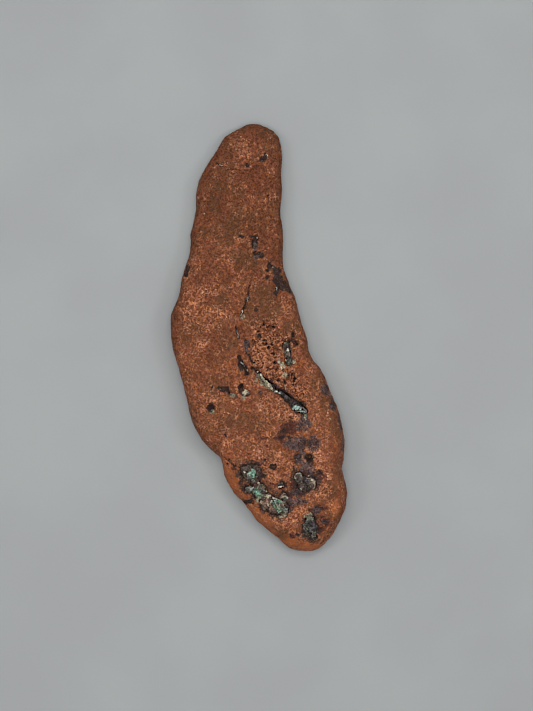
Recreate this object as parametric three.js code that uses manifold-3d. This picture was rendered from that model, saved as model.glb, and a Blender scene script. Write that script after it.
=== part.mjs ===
import * as THREE from 'three';
import { mergeVertices } from 'three/addons/utils/BufferGeometryUtils.js';
import Module from 'manifold-3d';

// A water-worn nugget of native copper, lying on its flattest side. The metal is one grown piece,
// and green and grey minerals fill some of its pits. Millimetres, +Z up, +Y towards the narrow end.

// Outline seen from above, as [x, y], from the narrow tip down each side to the broad tip.
const TIP_NARROW = [-1.4, 40.0];
const TIP_BROAD = [8.9, -40.0];
const LEFT_EDGE = [
  [-2.7, 39.7], [-3.6, 39.1], [-5.4, 38.0], [-6.5, 37.1], [-7.7, 35.2], [-8.9, 33.3],
  [-10.0, 31.4], [-11.0, 29.6], [-11.5, 27.7], [-11.7, 26.4], [-11.6, 24.7], [-11.9, 22.8],
  [-12.2, 20.9], [-12.7, 19.2], [-12.7, 17.9], [-12.6, 16.8], [-13.0, 15.1], [-13.4, 13.4],
  [-14.0, 11.7], [-14.5, 9.9], [-14.8, 8.0], [-15.3, 6.5], [-16.1, 4.6], [-16.4, 2.7],
  [-16.3, 0.5], [-16.0, -2.1], [-15.4, -4.2], [-14.8, -6.1], [-14.2, -8.1], [-13.8, -9.8],
  [-13.4, -11.5], [-13.0, -13.8], [-12.4, -15.6], [-11.5, -17.5], [-10.4, -19.4], [-8.9, -20.9],
  [-7.2, -22.1], [-6.9, -22.9], [-6.6, -24.1], [-6.6, -25.0], [-6.0, -26.5], [-5.2, -28.0],
  [-4.1, -29.7], [-3.0, -30.7], [-2.0, -31.5], [-1.4, -32.8], [-0.2, -34.4], [1.0, -35.5],
  [2.5, -36.4], [4.0, -37.8], [5.4, -39.1], [7.1, -39.8],
];
const RIGHT_EDGE = [
  [0.3, 39.8], [1.8, 39.1], [3.0, 38.3], [3.9, 37.1], [4.3, 35.6], [4.4, 33.9], [4.3, 31.4],
  [4.3, 29.0], [4.4, 26.7], [4.2, 24.7], [4.2, 22.4], [4.5, 20.4], [4.6, 18.3], [4.7, 16.4],
  [4.6, 14.6], [4.8, 12.5], [5.3, 11.0], [6.0, 9.3], [6.8, 7.4], [7.3, 5.7], [7.8, 3.9],
  [8.3, 2.0], [9.0, -0.3], [9.4, -2.3], [9.9, -3.8], [11.0, -5.3], [12.0, -6.4], [12.5, -7.6],
  [12.7, -8.5], [13.2, -9.4], [13.7, -10.9], [14.5, -12.6], [15.1, -14.5], [15.7, -16.6],
  [16.0, -18.8], [16.1, -20.7], [16.0, -22.2], [15.6, -22.8], [15.5, -24.1], [15.8, -25.6],
  [16.2, -27.1], [16.5, -28.8], [16.5, -30.3], [16.2, -32.0], [15.5, -33.8], [14.7, -35.2],
  [14.0, -36.6], [13.1, -37.9], [11.8, -39.1], [10.4, -39.8],
];

// Steps of the smooth curve between two edge points, and how close to a tip a width is still read.
const OUTLINE_STEPS = 8;
const TIP_MARGIN = 0.1;

// Height of the top above the resting plane, and width of the rounded rims, as [y, value].
const CREST_HEIGHT = [
  [40, 3.0], [35, 3.9], [26, 4.2], [18, 4.4], [10, 5.1], [2, 5.7], [-7, 5.5], [-17, 6.3],
  [-25, 6.2], [-33, 5.5], [-40, 4.2],
];
const LEFT_RIM = [[40, 2.8], [33, 1.6], [0, 1.4], [-19, 1.5], [-23, 2.6], [-34, 2.8], [-40, 2.4]];
const RIGHT_RIM = [
  [40, 3.0], [34, 1.7], [10, 1.4], [-4, 1.5], [-12, 2.2], [-20, 2.0], [-30, 1.5], [-40, 2.2],
];
const UNDER_RIM = 2.6;
const CROWN_DROP = 0.5;

// The nugget is widest at this share of its height, and that line wanders up and down a little.
const WIDEST_SHARE = 0.44;
const WIDEST_WANDER = [6.5, 0.9];
const WIDEST_SEED = 9;

// Broad swells and hollows of the top, as [x, y, radius, height].
const SWELLS = [
  [-7.5, 30.0, 4.5, 0.25], [0.5, 28.0, 3.0, 0.2], [-3.5, 21.5, 3.5, 0.2], [-9.0, 13.0, 4.0, 0.3],
  [-12.0, 5.0, 4.0, 0.35], [-6.5, 6.0, 2.5, 0.2], [4.0, 5.5, 2.0, 0.25], [1.6, -1.5, 2.6, 0.3],
  [-9.5, -6.5, 4.0, 0.3], [-4.0, -15.5, 3.5, 0.35], [3.5, -14.0, 3.0, 0.45], [9.5, -9.5, 2.8, 0.25],
  [11.5, -15.5, 2.5, 0.2], [3.2, -23.0, 2.6, 0.4], [11.8, -22.8, 2.8, 0.4], [12.5, -30.0, 2.6, 0.35],
  [-3.2, -29.7, 1.2, 0.3], [6.0, -36.2, 2.2, 0.25], [7.2, -31.5, 1.8, 0.2],
  [-8.5, 24.0, 3.0, -0.2], [0.0, 16.8, 2.6, -0.3], [2.0, 9.5, 2.8, -0.45], [-1.2, 4.0, 2.0, -0.35],
  [-9.0, -12.6, 2.6, -0.2], [6.0, -18.2, 3.4, -0.35], [-7.0, -1.0, 2.5, -0.15],
  [7.6, -28.0, 2.6, -0.35], [1.2, -29.5, 3.0, -0.3], [10.0, -35.0, 2.2, -0.3],
];

// The shallow valley that wanders down the middle and ends in the crack.
const VALLEY = [
  [-1.6, 9.7], [-2.0, 7.1], [-3.0, 4.5], [-4.1, 1.4], [-2.6, -1.6], [-1.2, -5.5], [2.4, -9.3], [7.3, -13.2],
];
const VALLEY_DEPTH = 0.28;
const VALLEY_WIDTH = 0.9;

// The fold at the lower left, where a sheet of metal laps over the thinner broad end.
const FOLD = [[-9.6, -20.3], [-6.6, -22.3], [-4.6, -24.0], [-3.7, -27.0], [-2.6, -29.6], [0.6, -33.6]];
const FOLD_DROP = 0.45;
const FOLD_STEP_WIDTH = 0.8;

// Soft unevenness of the worn surface, as [size, height, seed] from coarse to fine.
const TOP_UNEVENNESS = [[6.2, 0.5, 1], [2.8, 0.24, 2]];
const UNDER_UNEVENNESS = [[8.0, 2.0, 5], [3.6, 0.8, 6]];

// The underside is hollow by this much on average, and both ends curl up a little more. The nugget
// rests on places that are worn level, as [x, y, radius].
const UNDER_HOLLOW = 0.35;
const END_LIFT = 1.3;
const FLAT_DEPTH = 2.0;
const RESTING_FLATS = [[-3.8, 23.0, 3.4], [-9.4, -2.0, 3.8], [8.2, -24.5, 4.6]];

// Mesh of the body: even cells in the middle, finer towards the tips and the rims. A lump
// whose half width and half length come to more than this has finer facets.
const WIDE_LUMP = 2.6;
const STATION_STEP = 1.66;
const STATION_FINE = 5;
const TOP_CELLS = 23;
const TOP_FINE = 4;
const UNDER_CELLS = 12;
const UNDER_FINE = 3;

// A lump's corners lie in and out of its half size by this share, from the least to the least plus
// the spread, so that no two of its facets are alike.
const LUMP_LEAST = 0.86;
const LUMP_SPREAD = 0.28;

// Pits, as [x, y, half width, half length, depth].
const PIT_SEED = 3;
const PITS = [
  [-2.1, 32.6, 0.5, 0.4, 0.4], [0.8, 33.7, 0.8, 0.6, 0.3], [1.5, 26.7, 0.4, 0.4, 0.4],
  [-3.2, 18.8, 0.8, 0.3, 0.3], [-0.8, 17.6, 0.65, 1.1, 0.5], [-0.2, 15.7, 0.9, 0.6, 0.4],
  [3.4, 9.6, 0.8, 1.3, 0.3], [-0.1, 1.3, 0.7, 0.4, 0.6], [0.9, 2.7, 0.5, 0.5, 0.6],
  [2.6, 2.0, 0.8, 0.5, 0.6], [3.1, 0.6, 0.5, 0.5, 0.5], [1.2, -1.0, 0.7, 0.5, 0.6],
  [2.2, -1.9, 0.6, 0.45, 0.6], [3.1, -3.0, 0.5, 0.6, 0.5], [6.6, 0.2, 0.45, 0.6, 0.6],
  [7.0, -1.2, 0.8, 0.5, 0.8], [3.0, -4.7, 0.6, 0.5, 0.6], [6.5, -7.5, 0.5, 0.9, 0.6],
  [4.7, -8.7, 0.35, 0.8, 0.5], [-3.3, -9.1, 0.6, 0.55, 0.7], [-8.9, -13.2, 0.9, 0.95, 0.6],
  [7.2, -22.0, 0.75, 0.8, 0.5], [9.3, -22.2, 0.75, 0.8, 0.9], [2.8, -23.8, 0.65, 0.55, 0.5],
  [-1.3, -31.0, 0.9, 0.45, 0.5], [11.0, -31.8, 0.9, 0.75, 0.4],
];

// Grooves, as a path of [x, y] with the half width at each point.
const ROD_SIDES = 6;
const GROOVE_DEPTH_TO_WIDTH = 1.2;
const GROOVES = [
  { path: [[-7.7, 32.6], [-6.8, 32.2], [-4.9, 31.7]], halfWidths: [0.1, 0.22, 0.08] },
  {
    path: [[-1.6, 9.8], [-2.0, 8.6], [-2.0, 7.1], [-2.3, 5.9], [-3.0, 4.6]],
    halfWidths: [0.15, 0.28, 0.25, 0.35, 0.2],
  },
  { path: [[-4.3, 2.2], [-4.1, 1.2], [-4.0, 0.0]], halfWidths: [0.2, 0.32, 0.18] },
  { path: [[-2.0, -0.4], [-2.2, -1.8], [-1.9, -3.0]], halfWidths: [0.2, 0.42, 0.2] },
  {
    path: [[-3.7, -3.6], [-3.1, -4.9], [-2.2, -6.1], [-1.9, -6.9]],
    halfWidths: [0.25, 0.36, 0.36, 0.2],
  },
  {
    path: [[-7.3, -9.4], [-6.1, -10.1], [-4.9, -10.6], [-3.7, -10.8]],
    halfWidths: [0.22, 0.36, 0.32, 0.15],
  },
  { path: [[-6.7, -22.0], [-5.7, -22.7], [-4.6, -23.8]], halfWidths: [0.12, 0.28, 0.15] },
];

// Hackly copper between the small voids: grown crystal lumps that stand a little proud.
const CRYSTAL_ZONES = [
  { centre: [0.9, 1.6], reach: [1.4, 1.6], count: 4 },
  { centre: [2.4, -2.2], reach: [1.4, 1.6], count: 4 },
  { centre: [-1.0, -3.8], reach: [0.9, 1.4], count: 3 },
  { centre: [4.6, -7.2], reach: [1.8, 1.6], count: 3 },
];
const CRYSTAL_SIZE = 0.42;
const CRYSTAL_LEAST = 0.7;
const CRYSTAL_SPREAD = 0.6;
const CRYSTAL_FLATNESS = 0.6;
const CRYSTAL_SEED = 5;

// Pockets that hold a mineral: each hollow is a row of cuts [x, y, half width, half length, depth],
// and its crust is the same cuts drawn in by the gap, with grains [x, y, half size] on top.
// The bed of a crust lies sunk below the metal around it.
const CRUST_GAP = 0.12;
const CRUST_SUNK = 0.3;
const GRAIN_FLATNESS = 0.7;
const POCKETS = [
  {
    name: 'malachite_crust', colour: 0x54705f, seed: 11,
    cuts: [
      [-1.6, -25.0, 2.1, 1.6, 1.2], [-0.7, -26.9, 1.2, 1.3, 1.0], [-1.6, -28.1, 1.4, 0.9, 0.9],
      [0.1, -28.5, 1.4, 1.7, 1.2], [1.6, -30.5, 1.5, 1.7, 1.3], [3.4, -31.4, 2.2, 1.8, 1.3],
      [4.6, -29.5, 0.9, 1.0, 0.9],
    ],
    grains: [
      [-1.3, -25.3, 0.9], [-2.3, -24.7, 0.6], [-2.0, -28.0, 0.6], [0.1, -28.6, 0.9], [1.2, -30.3, 0.9],
      [2.0, -31.6, 0.8], [2.9, -30.8, 0.6], [3.9, -31.2, 1.0], [3.6, -32.3, 0.7], [4.6, -29.4, 0.6],
    ],
  },
  {
    name: 'ring_pit_grains', colour: 0x7e857b, seed: 23,
    cuts: [[4.3, -27.4, 0.95, 0.95, 0.8]],
    grains: [[4.2, -27.6, 0.4], [4.8, -27.3, 0.3], [3.9, -27.1, 0.3]],
  },
  {
    name: 'grey_crust', colour: 0x5a4d47, seed: 31,
    cuts: [[7.4, -25.9, 1.1, 1.2, 1.0], [8.5, -27.3, 1.5, 1.5, 1.1], [9.9, -27.1, 1.1, 1.2, 1.0]],
    grains: [[7.4, -25.8, 0.7], [8.2, -27.4, 0.9], [9.9, -27.0, 0.8]],
  },
  {
    name: 'tip_crust', colour: 0x49504a, seed: 41,
    cuts: [[9.5, -33.9, 1.2, 1.2, 0.9], [9.4, -35.6, 1.5, 1.5, 1.1], [10.1, -37.0, 0.9, 0.9, 0.8]],
    grains: [
      [9.6, -33.8, 0.8], [9.0, -35.2, 0.8], [10.1, -35.4, 0.6], [9.9, -36.8, 0.6],
    ],
  },
  {
    name: 'pale_grain', colour: 0x8e8d6c, seed: 53,
    cuts: [[-2.4, -10.3, 0.95, 0.8, 0.8]],
    grains: [[-2.5, -10.3, 0.7]],
  },
  {
    name: 'upper_green_grains', colour: 0x55605a, seed: 61,
    cuts: [[5.1, -1.4, 0.9, 0.9, 0.9], [5.4, -2.9, 0.8, 1.5, 1.0], [5.6, -4.4, 0.8, 1.1, 0.9]],
    grains: [[5.0, -1.4, 0.5], [5.3, -2.6, 0.4], [5.6, -4.2, 0.5]],
  },
];

// The slanting crack and its pocket, with the filling that stands in it.
const CRACK = {
  path: [
    [-1.3, -5.4], [-0.2, -6.6], [0.6, -7.8], [2.0, -9.0], [3.4, -9.9], [4.9, -10.9], [6.1, -12.0],
    [7.3, -13.1], [8.7, -14.0],
  ],
  halfWidths: [0.25, 0.38, 0.5, 0.55, 0.55, 0.6, 0.75, 1.15, 0.45],
  depthToWidth: 1.25,
  colour: 0x6f7b6e,
  seed: 71,
  grains: [
    [0.9, -8.1, 0.5], [2.1, -9.1, 0.5], [3.3, -9.9, 0.4], [7.1, -13.1, 0.7],
  ],
};

// The metal's colour comes from its brown worn skin.
const COPPER_COLOUR = 0x8a5238;

const wasm = await Module();
wasm.setup();

// A repeatable run of numbers from 0 to 1.
function randomRun(seed) {
  let state = seed * 7919 + 17;
  return () => {
    state = (Math.imul(state, 1664525) + 1013904223) >>> 0;
    return state / 4294967296;
  };
}

// Value at a given y in a list of [y, value] rows from the narrow tip down, eased from row to row.
function along(rows, y) {
  for (let i = 1; i < rows.length; i += 1) {
    const [above, valueAbove] = rows[i - 1];
    const [below, valueBelow] = rows[i];
    if (y >= below) {
      return THREE.MathUtils.lerp(valueBelow, valueAbove, THREE.MathUtils.smoothstep(y, below, above));
    }
  }
  return rows[rows.length - 1][1];
}

// Soft unevenness: random heights on a square lattice, eased between, from -0.5 to 0.5.
function latticeHeight(column, row, seed) {
  let mixed = Math.imul(column, 374761393) + Math.imul(row, 668265263) + Math.imul(seed, 982451653);
  mixed = Math.imul(mixed ^ (mixed >>> 13), 1274126177);
  return ((mixed ^ (mixed >>> 16)) >>> 0) / 4294967295 - 0.5;
}

function unevenness(x, y, size, seed) {
  const column = Math.floor(x / size);
  const row = Math.floor(y / size);
  const easeX = THREE.MathUtils.smoothstep(x / size - column, 0, 1);
  const easeY = THREE.MathUtils.smoothstep(y / size - row, 0, 1);
  const [lower, upper] = [row, row + 1].map((line) => {
    const [from, to] = [column, column + 1].map((place) => latticeHeight(place, line, seed));
    return THREE.MathUtils.lerp(from, to, easeX);
  });
  return THREE.MathUtils.lerp(lower, upper, easeY);
}

// The outline is one smooth closed curve through the edge points, centred on its own box.
function outlinePoints() {
  const corners = [TIP_NARROW, ...RIGHT_EDGE, TIP_BROAD, ...[...LEFT_EDGE].reverse()];
  const curve = new THREE.CatmullRomCurve3(corners.map(([x, y]) => new THREE.Vector3(x, y, 0)), true);
  const points = curve.getPoints(corners.length * OUTLINE_STEPS);
  const centre = new THREE.Box3().setFromPoints(points).getCenter(new THREE.Vector3());
  return points.map((point) => point.sub(centre));
}

const OUTLINE = outlinePoints();
const TOP_Y = Math.max(...OUTLINE.map((point) => point.y));

// Leftmost and rightmost point of the outline at a given y.
function edgesAt(y) {
  const crossings = [];
  for (let i = 1; i < OUTLINE.length; i += 1) {
    const from = OUTLINE[i - 1];
    const to = OUTLINE[i];
    if ((from.y - y) * (to.y - y) <= 0 && from.y !== to.y) {
      crossings.push(THREE.MathUtils.lerp(from.x, to.x, (y - from.y) / (to.y - from.y)));
    }
  }
  return [Math.min(...crossings), Math.max(...crossings)];
}

// Shortest way from a place to a chain of points, and the side of the chain it lies on.
function distanceToChain(x, y, chain) {
  let nearest = Infinity;
  let side = 1;
  for (let i = 1; i < chain.length; i += 1) {
    const [ax, ay] = chain[i - 1];
    const [bx, by] = chain[i];
    const lengthSquared = (bx - ax) ** 2 + (by - ay) ** 2;
    const inLine = ((x - ax) * (bx - ax) + (y - ay) * (by - ay)) / lengthSquared;
    const share = THREE.MathUtils.clamp(inLine, 0, 1);
    const distance = Math.hypot(x - ax - share * (bx - ax), y - ay - share * (by - ay));
    if (distance < nearest) {
      nearest = distance;
      side = Math.sign((bx - ax) * (y - ay) - (by - ay) * (x - ax)) || 1;
    }
  }
  return [nearest, side];
}

const OUTLINE_CHAIN = OUTLINE.map((point) => [point.x, point.y]);

// How far the rounded rim has risen at a distance from the edge: a quarter circle, then level.
function rimRise(distance, rimWidth) {
  const inward = Math.min(distance / rimWidth, 1);
  return Math.sqrt(1 - (1 - inward) ** 2);
}

function sideShare(x, y) {
  const [left, right] = edgesAt(THREE.MathUtils.clamp(y, TIP_MARGIN - TOP_Y, TOP_Y - TIP_MARGIN));
  return THREE.MathUtils.clamp((x - left) / (right - left), 0, 1);
}

// Height of the level part of the top, before its rims are rounded off.
function crestHeight(x, y) {
  const across = 2 * sideShare(x, y) - 1;
  let height = along(CREST_HEIGHT, y) - CROWN_DROP * across * across;
  for (const [swellX, swellY, radius, rise] of SWELLS) {
    const distanceSquared = ((x - swellX) ** 2 + (y - swellY) ** 2) / radius ** 2;
    height += rise * Math.exp(-distanceSquared);
  }
  for (const [size, rise, seed] of TOP_UNEVENNESS) {
    height += rise * unevenness(x, y, size, seed);
  }
  const [fromValley] = distanceToChain(x, y, VALLEY);
  height -= VALLEY_DEPTH * Math.exp(-((fromValley / VALLEY_WIDTH) ** 2));
  const [fromFold, side] = distanceToChain(x, y, FOLD);
  if (side < 0) {
    height -= FOLD_DROP * THREE.MathUtils.smoothstep(fromFold, 0, FOLD_STEP_WIDTH);
  }
  return height;
}

function widestHeight(x, y) {
  const [size, rise] = WIDEST_WANDER;
  return WIDEST_SHARE * along(CREST_HEIGHT, y) + rise * unevenness(x, y, size, WIDEST_SEED);
}

function topHeight(x, y) {
  const [distance] = distanceToChain(x, y, OUTLINE_CHAIN);
  const rimWidth = THREE.MathUtils.lerp(along(LEFT_RIM, y), along(RIGHT_RIM, y), sideShare(x, y));
  const widest = widestHeight(x, y);
  return widest + (crestHeight(x, y) - widest) * rimRise(distance, rimWidth);
}

function underHeight(x, y) {
  let height = UNDER_HOLLOW + END_LIFT * (y / TOP_Y) ** 4;
  for (const [size, rise, seed] of UNDER_UNEVENNESS) {
    height += rise * unevenness(x, y, size, seed);
  }
  for (const [flatX, flatY, radius] of RESTING_FLATS) {
    const share = ((x - flatX) ** 2 + (y - flatY) ** 2) / radius ** 2;
    height -= FLAT_DEPTH * Math.exp(-(share ** 2));
  }
  const [distance] = distanceToChain(x, y, OUTLINE_CHAIN);
  const widest = widestHeight(x, y);
  return widest - (widest - Math.max(height, 0)) * rimRise(distance, UNDER_RIM);
}

// Positions from 0 to 1 that start and end in finer and finer steps and are even between.
function spacedPositions(cells, fineCells) {
  const evenCells = cells - 2 * fineCells;
  const total = evenCells + fineCells;
  const positions = [];
  for (let i = 0; i <= cells; i += 1) {
    const fromStart = Math.min(i, cells - i);
    const covered = fromStart < fineCells ? fromStart ** 2 / (2 * fineCells) : fromStart - fineCells / 2;
    positions.push((i <= cells / 2 ? covered : total - covered) / total);
  }
  return positions;
}

// The blank: rings of points across the nugget, joined from one tip to the other.
function blankGeometry() {
  const stationCells = Math.round((2 * TOP_Y) / STATION_STEP) + STATION_FINE;
  const stations = spacedPositions(stationCells, STATION_FINE).map((share) => TOP_Y * (1 - 2 * share));
  const topShares = spacedPositions(TOP_CELLS, TOP_FINE);
  const underShares = spacedPositions(UNDER_CELLS, UNDER_FINE).reverse().slice(1, -1);
  const vertices = [];
  const faces = [];
  const tip = (y) => {
    const point = OUTLINE.find((candidate) => Math.abs(candidate.y - y) < 1e-6);
    vertices.push(point.x, point.y, widestHeight(point.x, point.y));
    return vertices.length / 3 - 1;
  };
  const firstTip = tip(TOP_Y);
  const rings = stations.slice(1, -1).map((y) => {
    const [left, right] = edgesAt(y);
    const place = (share, heightAt) => {
      const x = THREE.MathUtils.lerp(left, right, share);
      vertices.push(x, y, heightAt(x, y));
      return vertices.length / 3 - 1;
    };
    const over = topShares.map((share) => place(share, topHeight));
    const under = underShares.map((share) => place(share, underHeight));
    return [...over, ...under];
  });
  const lastTip = tip(-TOP_Y);
  const around = rings[0].length;
  for (let i = 0; i < around; i += 1) {
    const next = (i + 1) % around;
    faces.push(firstTip, rings[0][i], rings[0][next]);
    faces.push(lastTip, rings[rings.length - 1][next], rings[rings.length - 1][i]);
    for (let j = 1; j < rings.length; j += 1) {
      faces.push(rings[j - 1][i], rings[j][i], rings[j][next]);
      faces.push(rings[j - 1][i], rings[j][next], rings[j - 1][next]);
    }
  }
  const geometry = new THREE.BufferGeometry();
  geometry.setAttribute('position', new THREE.Float32BufferAttribute(vertices, 3));
  geometry.setIndex(faces);
  return geometry;
}

// A closed rounded lump with uneven flat facets, more of them on a wide one.
function lumpGeometry(halfX, halfY, halfZ, random) {
  const ball = new THREE.IcosahedronGeometry(1, halfX + halfY > WIDE_LUMP ? 1 : 0);
  ball.deleteAttribute('normal');
  ball.deleteAttribute('uv');
  const lump = mergeVertices(ball, 1e-4);
  const points = lump.attributes.position;
  const turn = random() * Math.PI;
  for (let i = 0; i < points.count; i += 1) {
    const size = LUMP_LEAST + LUMP_SPREAD * random();
    const point = new THREE.Vector3().fromBufferAttribute(points, i).multiplyScalar(size);
    point.applyAxisAngle(new THREE.Vector3(0, 0, 1), turn);
    points.setXYZ(i, point.x * halfX, point.y * halfY, point.z * halfZ);
  }
  return lump;
}

// A closed rod along a path on the metal's top, thick and thin as its half widths say.
function rodGeometry(path, halfWidths, depthToWidth, drawnIn) {
  const vertices = [];
  const faces = [];
  path.forEach(([x, y], i) => {
    const before = path[Math.max(i - 1, 0)];
    const after = path[Math.min(i + 1, path.length - 1)];
    const across = new THREE.Vector2(after[1] - before[1], before[0] - after[0]).normalize();
    const half = halfWidths[i] - drawnIn;
    const height = topHeight(x, y);
    for (let k = 0; k < ROD_SIDES; k += 1) {
      const angle = (2 * Math.PI * k) / ROD_SIDES;
      const sideways = half * Math.cos(angle);
      const upwards = half * depthToWidth * Math.sin(angle);
      vertices.push(x + across.x * sideways, y + across.y * sideways, height + upwards);
    }
  });
  for (let i = 1; i < path.length; i += 1) {
    for (let k = 0; k < ROD_SIDES; k += 1) {
      const next = (k + 1) % ROD_SIDES;
      const from = (i - 1) * ROD_SIDES;
      const to = i * ROD_SIDES;
      faces.push(from + k, to + next, from + next, from + k, to + k, to + next);
    }
  }
  const last = (path.length - 1) * ROD_SIDES;
  for (let k = 2; k < ROD_SIDES; k += 1) {
    faces.push(0, k - 1, k, last, last + k, last + k - 1);
  }
  const geometry = new THREE.BufferGeometry();
  geometry.setAttribute('position', new THREE.Float32BufferAttribute(vertices, 3));
  geometry.setIndex(faces);
  return geometry;
}

function solidOf(geometry) {
  return new wasm.Manifold(new wasm.Mesh({
    numProp: 3,
    vertProperties: new Float32Array(geometry.attributes.position.array),
    triVerts: new Uint32Array(geometry.index.array),
  }));
}

function placedSolid(geometry, x, y, z) {
  return solidOf(geometry.translate(x, y, z));
}

function joined(solids) {
  return solids.reduce((sum, solid) => sum.add(solid));
}

// Only the main body of a cut solid is kept, not a crumb that a cut left loose.
function mainBody(solid) {
  const pieces = solid.decompose();
  return pieces.reduce((largest, piece) => (piece.volume() > largest.volume() ? piece : largest));
}

function meshOf(name, solid, material) {
  const { vertProperties, triVerts } = mainBody(solid).getMesh();
  const geometry = new THREE.BufferGeometry();
  geometry.setAttribute('position', new THREE.BufferAttribute(vertProperties, 3));
  geometry.setIndex(new THREE.BufferAttribute(triVerts, 1));
  geometry.computeVertexNormals();
  const mesh = new THREE.Mesh(geometry, material);
  mesh.name = name;
  return mesh;
}

// Cuts of a pocket, each a lump centred on the surface, drawn in all round for its crust.
function pocketCuts({ cuts, seed }, drawnIn) {
  const random = randomRun(seed);
  return joined(cuts.map(([x, y, halfX, halfY, depth]) => {
    const lump = lumpGeometry(halfX, halfY, depth, random);
    lump.scale(1 - drawnIn / halfX, 1 - drawnIn / halfY, 1 - drawnIn / depth);
    return placedSolid(lump, x, y, topHeight(x, y));
  }));
}

// Grains are angular crystals half sunk in the bed.
function grainSolids(grains, seed) {
  const random = randomRun(seed);
  return grains.map(([x, y, half]) => {
    const grain = lumpGeometry(half, half, half * GRAIN_FLATNESS, random);
    return placedSolid(grain, x, y, topHeight(x, y) - CRUST_SUNK);
  });
}

const blank = solidOf(blankGeometry());
const bed = solidOf(blankGeometry().translate(0, 0, -CRUST_SUNK));

function crystalSolids() {
  const random = randomRun(CRYSTAL_SEED);
  const crystals = [];
  for (const { centre, reach, count } of CRYSTAL_ZONES) {
    for (let i = 0; i < count; i += 1) {
      const x = centre[0] + reach[0] * (2 * random() - 1);
      const y = centre[1] + reach[1] * (2 * random() - 1);
      const half = CRYSTAL_SIZE * (CRYSTAL_LEAST + CRYSTAL_SPREAD * random());
      const crystal = lumpGeometry(half, half, half * CRYSTAL_FLATNESS, random);
      crystals.push(placedSolid(crystal, x, y, topHeight(x, y)));
    }
  }
  return crystals;
}

function pitSolids() {
  const random = randomRun(PIT_SEED);
  return PITS.map(([x, y, halfX, halfY, depth]) => {
    const lump = lumpGeometry(halfX, halfY, depth, random);
    return placedSolid(lump, x, y, topHeight(x, y));
  });
}

function grooveSolids() {
  return GROOVES.map(({ path, halfWidths }) => {
    return solidOf(rodGeometry(path, halfWidths, GROOVE_DEPTH_TO_WIDTH, 0));
  });
}

function copperSolid() {
  const cuts = joined([
    ...pitSolids(),
    ...grooveSolids(),
    ...POCKETS.map((pocket) => pocketCuts(pocket, 0)),
    solidOf(rodGeometry(CRACK.path, CRACK.halfWidths, CRACK.depthToWidth, 0)),
  ]);
  return joined([blank, ...crystalSolids()]).subtract(cuts);
}

const nugget = new THREE.Group();
const copper = new THREE.MeshStandardMaterial({ color: COPPER_COLOUR, roughness: 0.5, metalness: 0.8 });
nugget.add(meshOf('copper_nugget', copperSolid(), copper));

for (const pocket of POCKETS) {
  const filling = joined([bed, ...grainSolids(pocket.grains, pocket.seed + 1)]);
  const crust = pocketCuts(pocket, CRUST_GAP).intersect(filling);
  const mineral = new THREE.MeshStandardMaterial({ color: pocket.colour, roughness: 0.7, metalness: 0 });
  nugget.add(meshOf(pocket.name, crust, mineral));
}

const crackRoom = solidOf(rodGeometry(CRACK.path, CRACK.halfWidths, CRACK.depthToWidth, CRUST_GAP));
const crackFilling = crackRoom.intersect(joined([bed, ...grainSolids(CRACK.grains, CRACK.seed)]));
const crackMineral = new THREE.MeshStandardMaterial({ color: CRACK.colour, roughness: 0.6, metalness: 0 });
nugget.add(meshOf('vein_filling', crackFilling, crackMineral));

export default nugget;
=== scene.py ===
import math

import bmesh
import bpy
import numpy as np
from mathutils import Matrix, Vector, noise
from mathutils.bvhtree import BVHTree


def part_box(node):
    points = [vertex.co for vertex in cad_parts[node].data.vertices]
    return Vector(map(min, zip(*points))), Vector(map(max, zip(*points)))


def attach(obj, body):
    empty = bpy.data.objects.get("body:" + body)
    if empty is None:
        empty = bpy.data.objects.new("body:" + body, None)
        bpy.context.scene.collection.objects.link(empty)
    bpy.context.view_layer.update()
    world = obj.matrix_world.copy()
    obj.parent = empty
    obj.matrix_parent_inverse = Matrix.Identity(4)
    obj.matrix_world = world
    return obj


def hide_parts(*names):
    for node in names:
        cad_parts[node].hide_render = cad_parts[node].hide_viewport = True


# A water-worn nugget of native copper with minerals in its hollows. Sizes are in millimetres, and a
# length becomes metres, the frame's unit, where it is multiplied by MM.
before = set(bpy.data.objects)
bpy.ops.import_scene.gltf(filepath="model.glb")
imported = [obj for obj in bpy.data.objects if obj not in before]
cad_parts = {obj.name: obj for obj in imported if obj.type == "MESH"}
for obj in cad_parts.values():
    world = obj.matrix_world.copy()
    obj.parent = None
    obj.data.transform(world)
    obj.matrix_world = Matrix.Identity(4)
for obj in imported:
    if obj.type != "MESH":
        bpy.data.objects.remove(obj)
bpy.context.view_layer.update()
MM = 0.001

# The view. The nugget lies flat on a plain surface and is looked at straight from above, from about
# an arm's length, with its narrow end up. The picture's long side takes in VIEW_LENGTH.
VIEW_CENTRE = (1.44, -3.42)
VIEW_LENGTH = 132.4
CAMERA_HEIGHT = 330.0
MIDDLE_HEIGHT = 3.0
SENSOR_LENGTH = 36.0
NEAREST_SEEN = 10.0


def new_object(name, data):
    """A new object in the scene."""
    made = bpy.data.objects.new(name, data)
    bpy.context.scene.collection.objects.link(made)
    return made


camera_data = bpy.data.cameras.new("camera")
camera_data.sensor_fit = "VERTICAL"
camera_data.sensor_height = SENSOR_LENGTH
camera_data.lens = SENSOR_LENGTH * (CAMERA_HEIGHT - MIDDLE_HEIGHT) / VIEW_LENGTH
camera_data.clip_start = NEAREST_SEEN * MM
camera = new_object("camera", camera_data)
camera.location = (VIEW_CENTRE[0] * MM, VIEW_CENTRE[1] * MM, CAMERA_HEIGHT * MM)
bpy.context.scene.camera = camera
bpy.context.scene.view_settings.view_transform = "Standard"

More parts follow.
